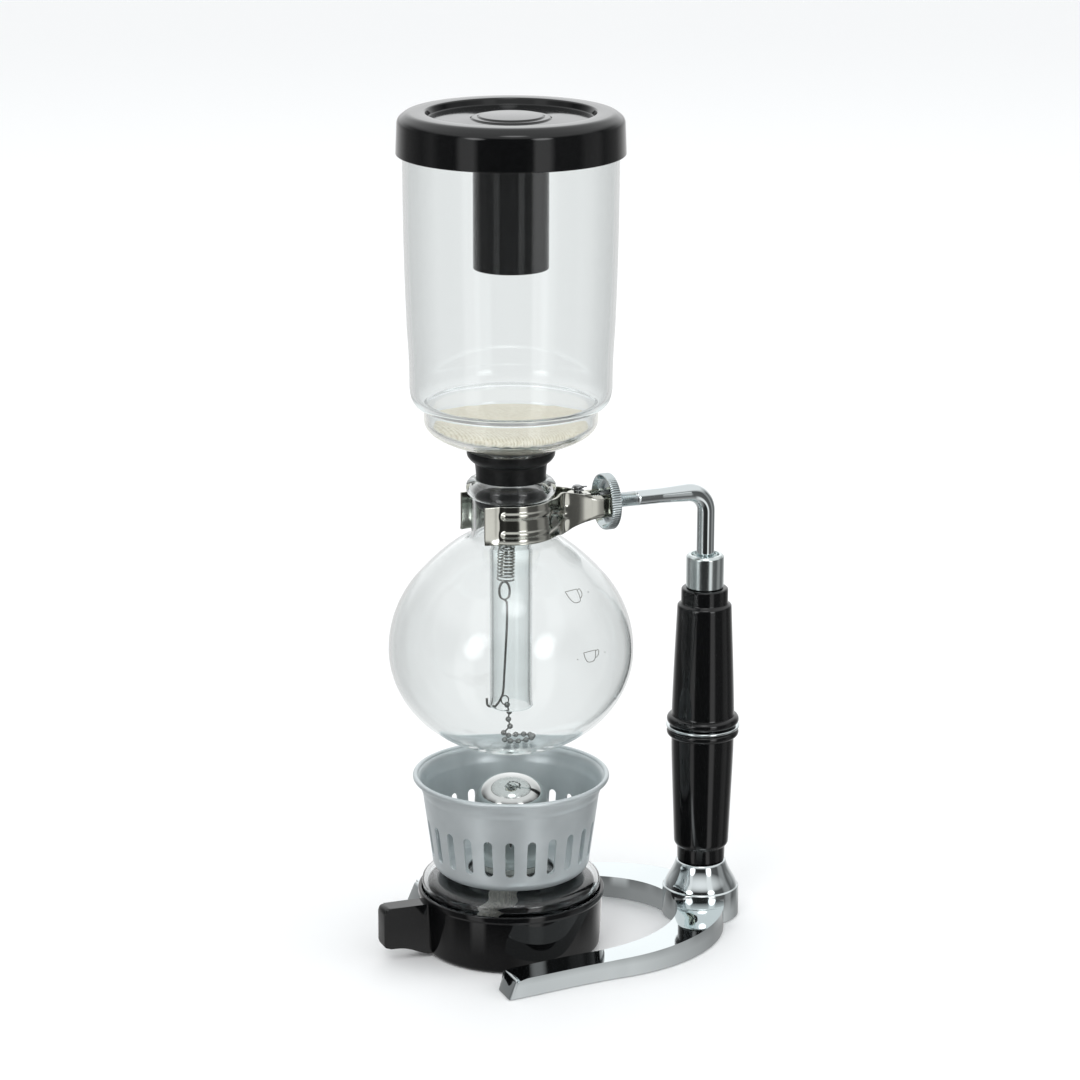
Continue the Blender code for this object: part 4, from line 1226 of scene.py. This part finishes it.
def build_clamp_spring(look):
    """Torsion spring round the pin's top, with one leg over each jaw."""
    wire = 0.3
    foot = low("clamp_spring").z + wire
    top = high("clamp_spring").z - wire
    coil_r = 2.2
    points = [(PIVOT_X + 4.2, 3.6, foot)]
    count = 40
    for i in range(count + 1):
        angle = radians(60 - 360 * i / count)
        z = foot + (top - foot) * i / count
        points.append((PIVOT_X + coil_r * cos(angle), coil_r * sin(angle), z))
    points.append((PIVOT_X + 4.6, 0.9, top))
    return stand_in(sweep("clamp_spring_finished", points, wire, 10), "clamp_spring", look)


def build_clamp_cone(look):
    """Sleeve on the thread whose cone spreads the jaws' tails."""
    x0 = low("clamp_cone").x
    x1 = high("clamp_cone").x
    corners = [(4.6, x1, 0.15), (4.8, x1 - 0.3, 0.15), (3.8, x0, 0.1), (3.35, x0), (3.35, x1)]
    return turned("clamp_cone", filleted(corners), look, steps=64, at=(0, 0, ARM_Z), axis="X")


def build_clamp_wheel(look):
    """Knurled thumb wheel, dished towards the jaws, with a small hub."""
    x0 = low("clamp_wheel").x
    x1 = high("clamp_wheel").x
    edge = high("clamp_wheel").z - ARM_Z
    knurls = 72
    bore = 3.35

    def knurl(r, z, turn):
        if r < edge - 0.6:
            return r, z
        inset = min(abs(z - x0), abs(z - x1))
        depth = 0.36 * min(1.0, inset / 0.5)
        return r - depth * (0.5 + 0.5 * cos(knurls * turn)), z

    outline = [(bore, x0 + 3.0)]
    outline += bezier((7.6, x0 + 3.0), (9.3, x0 + 2.9), (9.9, x0 + 1.6), (10.55, x0 + 0.3), 8)
    outline += [(10.75, x0), (edge - 0.35, x0), (edge - 0.1, x0 + 0.2), (edge, x0 + 0.5)]
    outline += [(edge, x0 + 1.4), (edge, x1 - 1.4), (edge, x1 - 0.55), (edge - 0.3, x1 - 0.2)]
    outline += [(edge - 0.8, x1)]
    outline += [(6.4, x1), (6.0, x1 - 0.25), (bore + 0.4, x1 - 0.25), (bore, x1 - 0.6)]
    return turned("clamp_wheel", outline, look, steps=8 * knurls, warp=knurl, at=(0, 0, ARM_Z),
                  axis="X", sharp=30)


# --- spirit lamp -----------------------------------------------------------

def build_lamp_holder(look):
    """Moulded cup with a thin lip and a pulling lug with a hollowed underside."""
    rim_r = high("lamp_holder").x
    top = high("lamp_holder").z
    foot_r = rim_r - 2.1
    corners = [
        (0.0, 0.0), (foot_r - 0.4, 0.0, 0.8), (foot_r + 0.4, 1.4, 0.6),
        (rim_r - 0.6, top - 2.9, 0.3), (rim_r, top - 2.3, 0.3), (rim_r, top, 0.5),
        (36.8, top, 0.25), (36.7, top - 0.4, 0.2), (34.7, 3.3, 0.6), (0.0, 3.2),
    ]
    cup = lathe("lamp_holder_finished", filleted(corners, closed=False, count=4), sharp=24)
    tip = low("lamp_holder").x
    lug_z1 = 23.0
    half = 3.8
    side = bezier((-35.2, 0.9), (-41.0, 1.0), (-44.0, 4.6), (-50.0, 5.2), 12)
    side += bezier((-53.0, 5.4), (tip + 1.2, 5.4), (tip, 6.0), (tip, 7.6), 6)
    side += bezier((tip, 20.6), (tip, 22.3), (tip + 0.8, lug_z1), (tip + 2.4, lug_z1), 6)
    side += [(-46.0, lug_z1 - 0.1), (-38.6, lug_z1 - 0.2), (-36.4, lug_z1 - 0.2)]
    shape = bmesh.new()
    near = [shape.verts.new((x * MM, -half * MM, z * MM)) for x, z in side]
    far = [shape.verts.new((x * MM, half * MM, z * MM)) for x, z in side]
    back, front = close_prism(shape, far, near)
    rims = list(front.edges) + list(back.edges)
    bmesh.ops.bevel(shape, geom=rims, offset=0.7 * MM, segments=4, affect="EDGES", profile=0.5)
    boolean(cup, finish_mesh("lug", shape), "UNION")
    return stand_in(flatten_shading(bake_modifiers(cup, 28)), "lamp_holder", look)


def build_lamp_collar(look):
    """Pressed collar with a knurled skirt and a rolled edge."""
    edge = high("lamp_collar").x
    foot, top = heights("lamp_collar")

    def knurl(r, z, turn):
        inside = foot + 0.9 < z < top - 1.2 and r > edge - 0.4
        return (r - 0.28 * (0.5 + 0.5 * cos(60 * turn)), z) if inside else (r, z)

    outline = [(6.2, top), (edge - 0.9, top), (edge - 0.25, top - 0.3), (edge, top - 0.9)]
    outline += [(edge, top - 1.3), (edge, top - 2.8), (edge, foot + 1.4), (edge, foot + 0.8)]
    outline += [(edge, foot + 0.3), (edge - 0.3, foot)]
    outline += [(edge - 0.9, foot), (edge - 0.9, top - 1.0), (6.2, top - 0.8)]
    return turned("lamp_collar", outline, look, steps=480, warp=knurl, sharp=30)


def build_wick_holder(look):
    foot, top = heights("wick_holder")
    flange = high("wick_holder").x
    corners = [
        (5.6, top, 0.15), (5.8, top - 0.3, 0.15), (5.8, 40.6, 0.4), (flange, 40.6, 0.25),
        (flange, 39.6, 0.2), (5.8, 39.6, 0.2), (5.8, foot, 0.2), (4.6, foot, 0.2), (4.6, top, 0.2),
    ]
    return turned("wick_holder", filleted(corners, count=3), look, steps=64)


def build_wick(look):
    """Braided cotton cord: upright in its holder, then slack on the font's floor."""
    edge = 4.2
    top = high("wick").z
    slack = Vector((-0.929, 0.370, 0.0))
    side = [(0.0, top)] + [(0.0, top - 0.5 - 27.6 * i / 77) for i in range(78)]
    side += bezier((0.0, 25.7), (0.1, 19.6), (8.8, 18.8), (10.6, 9.4), 48)
    points = [slack * d + Vector((0.0, 0.0, z)) for d, z in side]

    def braid(length, angle):
        weave = sin(8 * angle + length * 2.2) * sin(8 * angle - length * 2.2)
        fray = 0.5 if length < 0.2 else 0.0
        return edge - fray - 0.16 * (1 - weave)

    return stand_in(sweep("wick_finished", points, braid, 96, sharp=80), "wick", look)


def slot_cutters(count, width, z0, z1):
    """Round-ended prisms round the Z axis as one mesh."""
    half = width / 2
    ends = arc(0.0, z1 - half, half, 0, 180, 12) + arc(0.0, z0 + half, half, 180, 360, 12)
    shape = bmesh.new()
    for i in range(count):
        spin = Matrix.Rotation(2 * pi * (i + 0.5) / count, 3, "Z")
        near = [shape.verts.new(spin @ Vector((28.0, y, z)) * MM) for y, z in ends]
        far = [shape.verts.new(spin @ Vector((40.0, y, z)) * MM) for y, z in ends]
        close_prism(shape, near, far)
    return finish_mesh("slots", shape)


def build_windshield(look):
    """Spun cup with a rolled rim, slots all round and a hole in its floor."""
    rim_r = high("windshield").x
    foot, top = heights("windshield")
    bead = 1.1
    outline = arc(rim_r - bead, top - bead, bead, 160, -150, 20)
    outline += bezier((rim_r - 2.1, top - 2.2), (37.4, top - 3.2), (37.0, 69.2), (36.9, 68.6), 6)
    outline += bezier((36.7, 67.6), (36.1, 66.2), (36.0, 65.8), (35.95, 65.2), 5)
    outline += [(32.35, 38.8)]
    outline += bezier((32.1, 36.4), (30.9, 33.4), (28.6, foot + 0.2), (25.6, foot), 12)
    outline += [(17.9, foot), (17.5, foot + 0.3), (17.7, foot + 0.8)]
    outline += bezier((25.5, foot + 0.8), (28.2, foot + 1.0), (30.2, 34.0), (31.55, 38.9), 12)
    outline += [(35.15, 65.3)]
    outline += bezier((35.3, 66.2), (35.9, 67.6), (36.1, 68.7), (36.2, 69.4), 5)
    outline += bezier((36.5, top - 3.0), (36.8, top - 2.2), (37.2, top - 1.4),
                      (rim_r - bead - 1.0, top - 0.9), 4)
    cup = lathe("windshield_finished", outline, steps=192, sharp=40)
    slots = slot_cutters(count=24, width=3.6, z0=39.8, z1=55.6)
    return stand_in(boolean(cup, slots, "DIFFERENCE"), "windshield", look)


def build_lamp_cap(look):
    """Snuffer: a polished dome on a straight skirt with a turned-in edge."""
    skirt = high("lamp_cap").x
    foot, top = heights("lamp_cap")
    wall = 0.7
    shoulder = 61.4
    outer = ellipse(skirt, top - shoulder, shoulder, 90, 0, 30)
    outer += [(skirt, foot + 0.3), (skirt - 0.25, foot)]
    inner = [(skirt - wall, foot)]
    inner += ellipse(skirt - wall, top - wall - shoulder, shoulder, 0, 90, 20)
    return turned("lamp_cap", outer + inner, look, steps=112, sharp=35)


# --- studio ----------------------------------------------------------------

# Brightness of the studio seen in reflections, by degrees of azimuth from the camera.
STUDIO_STRIPES = (
    (-180, 0.95), (-150, 0.70), (-128, 0.24), (-100, 0.12), (-86, 0.28), (-76, 0.10),
    (-57, 0.08), (-51, 0.80), (-38, 0.85), (-32, 0.05), (-12, 0.03), (14, 0.03),
    (21, 0.08), (25, 1.00), (38, 0.95), (45, 0.12), (72, 0.10), (80, 0.30),
    (96, 0.34), (106, 0.12), (130, 0.24), (150, 0.70), (180, 0.95),
)
# The same for the stretch of floor right beside a polished piece.
FLOOR_NEAR = (
    (-180, 0.35), (-60, 0.30), (-40, 0.25), (0, 0.20), (30, 0.50), (50, 0.72), (90, 0.50),
    (130, 0.33), (180, 0.35),
)
# The lit wall behind the object, which only shows above the horizon.
BACK_WALL = (
    (-180, 1.00), (-145, 0.80), (-110, 0.00), (110, 0.00), (145, 0.80), (180, 1.00),
)
BACK_WALL_GAIN = 0.35
CEILING = 0.95
STUDIO_LAMPS = ((-37, 16), (32, 17), (5, 62))       # azimuth from the camera and elevation
LAMP_GAIN = 3.0
LAMP_EDGE = cos(radians(12))
LAMP_MIDDLE = cos(radians(5))


def turn_from_camera(graph, direction):
    """Azimuth of a direction, counted from the side that the camera looks from."""
    back = graph.nodes.new("ShaderNodeVectorTransform")
    back.vector_type = "VECTOR"
    back.convert_from = "CAMERA"
    back.convert_to = "WORLD"
    back.inputs[0].default_value = (0.0, 0.0, -1.0)
    camera_x, camera_y = graph.split(back.outputs[0])[0:2]
    x, y = graph.split(direction)[0:2]
    camera_turn = graph.math("ARCTAN2", camera_y, camera_x)
    turn = graph.minus(graph.math("ARCTAN2", y, x), camera_turn)
    return graph.math("WRAP", turn, pi, -pi)


def round_the_camera(graph, direction, table):
    """Grey looked up by the direction's azimuth from the camera."""
    turn = turn_from_camera(graph, direction)
    place = graph.span(turn, 0.0, 1.0, -pi, pi)
    stops = [(degrees / 360 + 0.5, (value, value, value)) for degrees, value in table]
    return graph.ramp(place, stops)


def studio_brightness(graph, direction):
    """Grey of the studio in one direction: upright soft boxes between dark flags, white above."""
    z = graph.split(direction)[2]
    stripes = round_the_camera(graph, direction, STUDIO_STRIPES)
    back_wall = graph.times(round_the_camera(graph, direction, BACK_WALL), BACK_WALL_GAIN)
    above = graph.span(z, 0.0, 1.0, 0.04, 0.12)
    stripes = graph.blend(above, stripes, graph.plus(stripes, back_wall))
    up = graph.span(z, 0.0, 1.0, 0.35, 0.62)
    down = graph.span(z, 0.0, 1.0, -0.55, -0.95)
    return graph.blend(down, graph.blend(up, stripes, CEILING), 0.45)


def lamp_glow(graph, direction, azimuth, elevation):
    """Soft round lamp seen in reflections: 1 at its middle, 0 at its edge."""
    lift = radians(elevation)
    z = graph.split(direction)[2]
    level = graph.math("SQRT", graph.minus(1.0, graph.times(z, z)))
    turn = graph.minus(turn_from_camera(graph, direction), radians(azimuth))
    across = graph.times(level, graph.math("COSINE", turn))
    level_part = graph.times(across, cos(lift))
    nearness = graph.plus(level_part, graph.times(z, sin(lift)))
    return graph.span(nearness, 0.0, 1.0, LAMP_EDGE, LAMP_MIDDLE)


def seen_through_glass(graph, studio):
    """The studio's dark parts are softer for rays that have gone a long way through glass."""
    path = graph.nodes.new("ShaderNodeLightPath").outputs
    deep = graph.above(path["Transmission Depth"], 2.5)
    straight = graph.math("LESS_THAN", path["Glossy Depth"], 0.5)
    guided = graph.above(path["Glossy Depth"], 1.5)
    glassy = graph.above(path["Transmission Depth"], 0.5)
    passed = graph.times(deep, straight)
    far = graph.most(passed, graph.times(guided, glassy))
    reflected = graph.most(studio, graph.times(far, 0.40))
    least = graph.plus(0.18, graph.times(far, 0.22))
    through = graph.most(studio, least)
    return graph.blend(path["Is Transmission Ray"], reflected, through)


def build_world():
    """White for the camera, even for soft light, the striped studio for reflections."""
    world = bpy.data.worlds.new("studio_world")
    world.use_nodes = True
    bpy.context.scene.world = world
    graph = Graph(world.node_tree)
    backdrop = graph.nodes["Background"]
    direction = graph.nodes.new("ShaderNodeTexCoord").outputs["Generated"]
    path = graph.nodes.new("ShaderNodeLightPath").outputs
    studio = studio_brightness(graph, direction)
    for azimuth, elevation in STUDIO_LAMPS:
        glow = graph.times(lamp_glow(graph, direction, azimuth, elevation), LAMP_GAIN)
        studio = graph.plus(studio, glow)
    value = graph.blend(staged_rays(graph), 1.0, seen_through_glass(graph, studio))
    value = graph.blend(path["Is Camera Ray"], value, 1.0)
    tone = graph.nodes.new("ShaderNodeCombineColor")
    for slot, tint in zip(tone.inputs, (0.985, 0.995, 1.0)):
        graph.join(graph.times(value, tint), slot)
    graph.join(tone.outputs[0], backdrop.inputs["Color"])


def staged_rays(graph):
    """1 for reflected rays and rays through glass, which see the studio."""
    path = graph.nodes.new("ShaderNodeLightPath").outputs
    return graph.most(path["Is Glossy Ray"], path["Is Transmission Ray"])


def floor_material():
    """Matt white sheet; in reflections it fades into the striped studio away from the object."""
    look = Look("floor_white", (0.93, 0.935, 0.94), 0.9)
    look.set("Specular IOR Level", 0.1)
    grain = look.noise(240.0, 3.0)
    look.bump(grain, 0.00003, 0.4)
    path = look.nodes.new("ShaderNodeLightPath").outputs
    incoming = look.nodes.new("ShaderNodeNewGeometry").outputs["Incoming"]
    flip = look.nodes.new("ShaderNodeVectorMath")
    flip.operation = "SCALE"
    flip.inputs["Scale"].default_value = -1.0
    look.join(incoming, flip.inputs[0])
    away = look.span(path["Ray Length"], 0.0, 1.0, 0.014, 0.04)
    near = round_the_camera(look, flip.outputs[0], FLOOR_NEAR)
    studio = look.blend(away, near, studio_brightness(look, flip.outputs[0]))
    value = seen_through_glass(look, studio)
    glow = look.nodes.new("ShaderNodeEmission")
    look.join(value, glow.inputs["Strength"])
    look.surface(staged_rays(look), look.shader, glow)
    return look.material


def build_floor():
    shape = bmesh.new()
    bmesh.ops.create_circle(shape, cap_ends=True, segments=96, radius=9.0)
    floor = finish_mesh("floor", shape)
    floor.location.z = -0.0003
    floor.data.materials.append(floor_material())


def add_softbox(name, place, target, size, watts):
    light = bpy.data.lights.new(name, "AREA")
    light.shape = "RECTANGLE"
    light.size, light.size_y = size
    light.energy = watts
    lamp = bpy.data.objects.new(name, light)
    bpy.context.scene.collection.objects.link(lamp)
    lamp.location = place
    lamp.rotation_euler = (Vector(target) - Vector(place)).to_track_quat("-Z", "Y").to_euler()
    lamp.visible_camera = False
    lamp.visible_glossy = False
    lamp.visible_transmission = False


def build_lights():
    target = (0.02, 0.0, 0.16)
    add_softbox("key_softbox", (-0.9, -0.9, 1.5), target, (0.7, 0.7), 6.0)
    add_softbox("fill_softbox", (1.3, -0.6, 1.1), target, (0.6, 0.9), 3.0)
    add_softbox("back_softbox", (0.5, 1.4, 1.4), target, (1.0, 0.6), 4.0)


def build_camera():
    """Long lens from the front left, a little above the rim of the upper bowl."""
    lens = bpy.data.cameras.new("camera")
    lens.sensor_width = 36.0
    lens.lens = 121.9
    lens.shift_x = 0.0269
    lens.clip_start = 0.05
    lens.clip_end = 30.0
    camera = bpy.data.objects.new("camera", lens)
    camera.location = (-0.5216, -1.3100, 0.5733)
    camera.rotation_euler = (radians(74.116), 0.0, radians(-21.71))
    bpy.context.scene.collection.objects.link(camera)
    bpy.context.scene.camera = camera


# --- assembly --------------------------------------------------------------

def build_pieces():
    steel_arm = chrome_look("stand_chrome", (0.74, 0.79, 0.80))
    fastener = brushed_look("fastener_steel", (0.42, 0.43, 0.44), 0.25, 0.4, "Z")
    grip = plastic_look("grip_plastic", BLACK, 0.06, 0.13)
    filter_metal = brushed_look("filter_steel", (0.62, 0.62, 0.61), 0.16, 0.30, "X", 1800.0)
    lamp_metal = brushed_look("lamp_metal", (0.66, 0.64, 0.60), 0.16, 0.28, "Z", 1800.0)
    clamp_metal = brushed_look("clamp_steel", (0.64, 0.64, 0.58), 0.06, 0.14, "X", 2200.0)

    build_globe(glass_look("globe_glass", CLEAR))
    build_level_marks(Look("mark_ink", (0.16, 0.165, 0.15), 0.5).material)
    build_upper_bowl(glass_look("bowl_glass", CLEAR))
    build_lamp_font(glass_look("font_glass", (0.95, 0.97, 0.975)))
    build_lid(paint_glow_in_glass_corners(plastic_look("lid_plastic", BLACK, 0.04, 0.09)))
    build_gasket(rubber_look("gasket_rubber"))
    build_filter_cloth(cloth_look("filter_cloth"))
    build_drawstring(cotton_look("cotton_cord", (0.72, 0.66, 0.54)))
    build_filter_plate(filter_metal)
    build_filter_stud(filter_metal)
    build_filter_spring(chrome_look("spring_steel", (0.46, 0.45, 0.43), 0.05, 0.14))
    build_hook_wire(chrome_look("hook_steel", (0.22, 0.21, 0.20), 0.08, 0.18))
    build_ball_chain(chrome_look("chain_steel", (0.30, 0.30, 0.29), 0.05, 0.12))
    build_base(steel_arm)
    build_base_screw(fastener)
    build_support_arm(steel_arm)
    build_ferrule(chrome_look("ferrule_chrome", (0.72, 0.78, 0.78), 0.15, 0.24))
    build_grip_upper(grip)
    build_grip_ring(steel_arm)
    build_grip_lower(grip)
    build_jaw("clamp_jaw_front", 1, ((188.3, 189.2), (178.3, 179.3)), clamp_metal)
    build_jaw("clamp_jaw_back", -1, ((187.1, 187.95), (179.7, 180.7)), clamp_metal)
    build_clamp_pin(fastener)
    build_clamp_spring(fastener)
    build_clamp_cone(fastener)
    build_clamp_wheel(chrome_look("wheel_chrome", (0.66, 0.72, 0.73), 0.07, 0.16))
    build_lamp_holder(plastic_look("lamp_plastic", (0.0030, 0.0031, 0.0034), 0.02, 0.06))
    build_lamp_collar(lamp_metal)
    build_wick_holder(lamp_metal)
    build_wick(cotton_look("wick_cotton", (0.78, 0.75, 0.68)))
    build_windshield(aluminium_look("shield_aluminium"))
    build_lamp_cap(chrome_look("cap_chrome", (0.66, 0.68, 0.67), 0.03, 0.08))


def set_colour():
    bpy.context.scene.view_settings.view_transform = "Standard"
    bpy.context.scene.view_settings.look = "None"
    bpy.context.scene.view_settings.exposure = 0.0


build_pieces()
build_world()
build_floor()
build_lights()
build_camera()
set_colour()
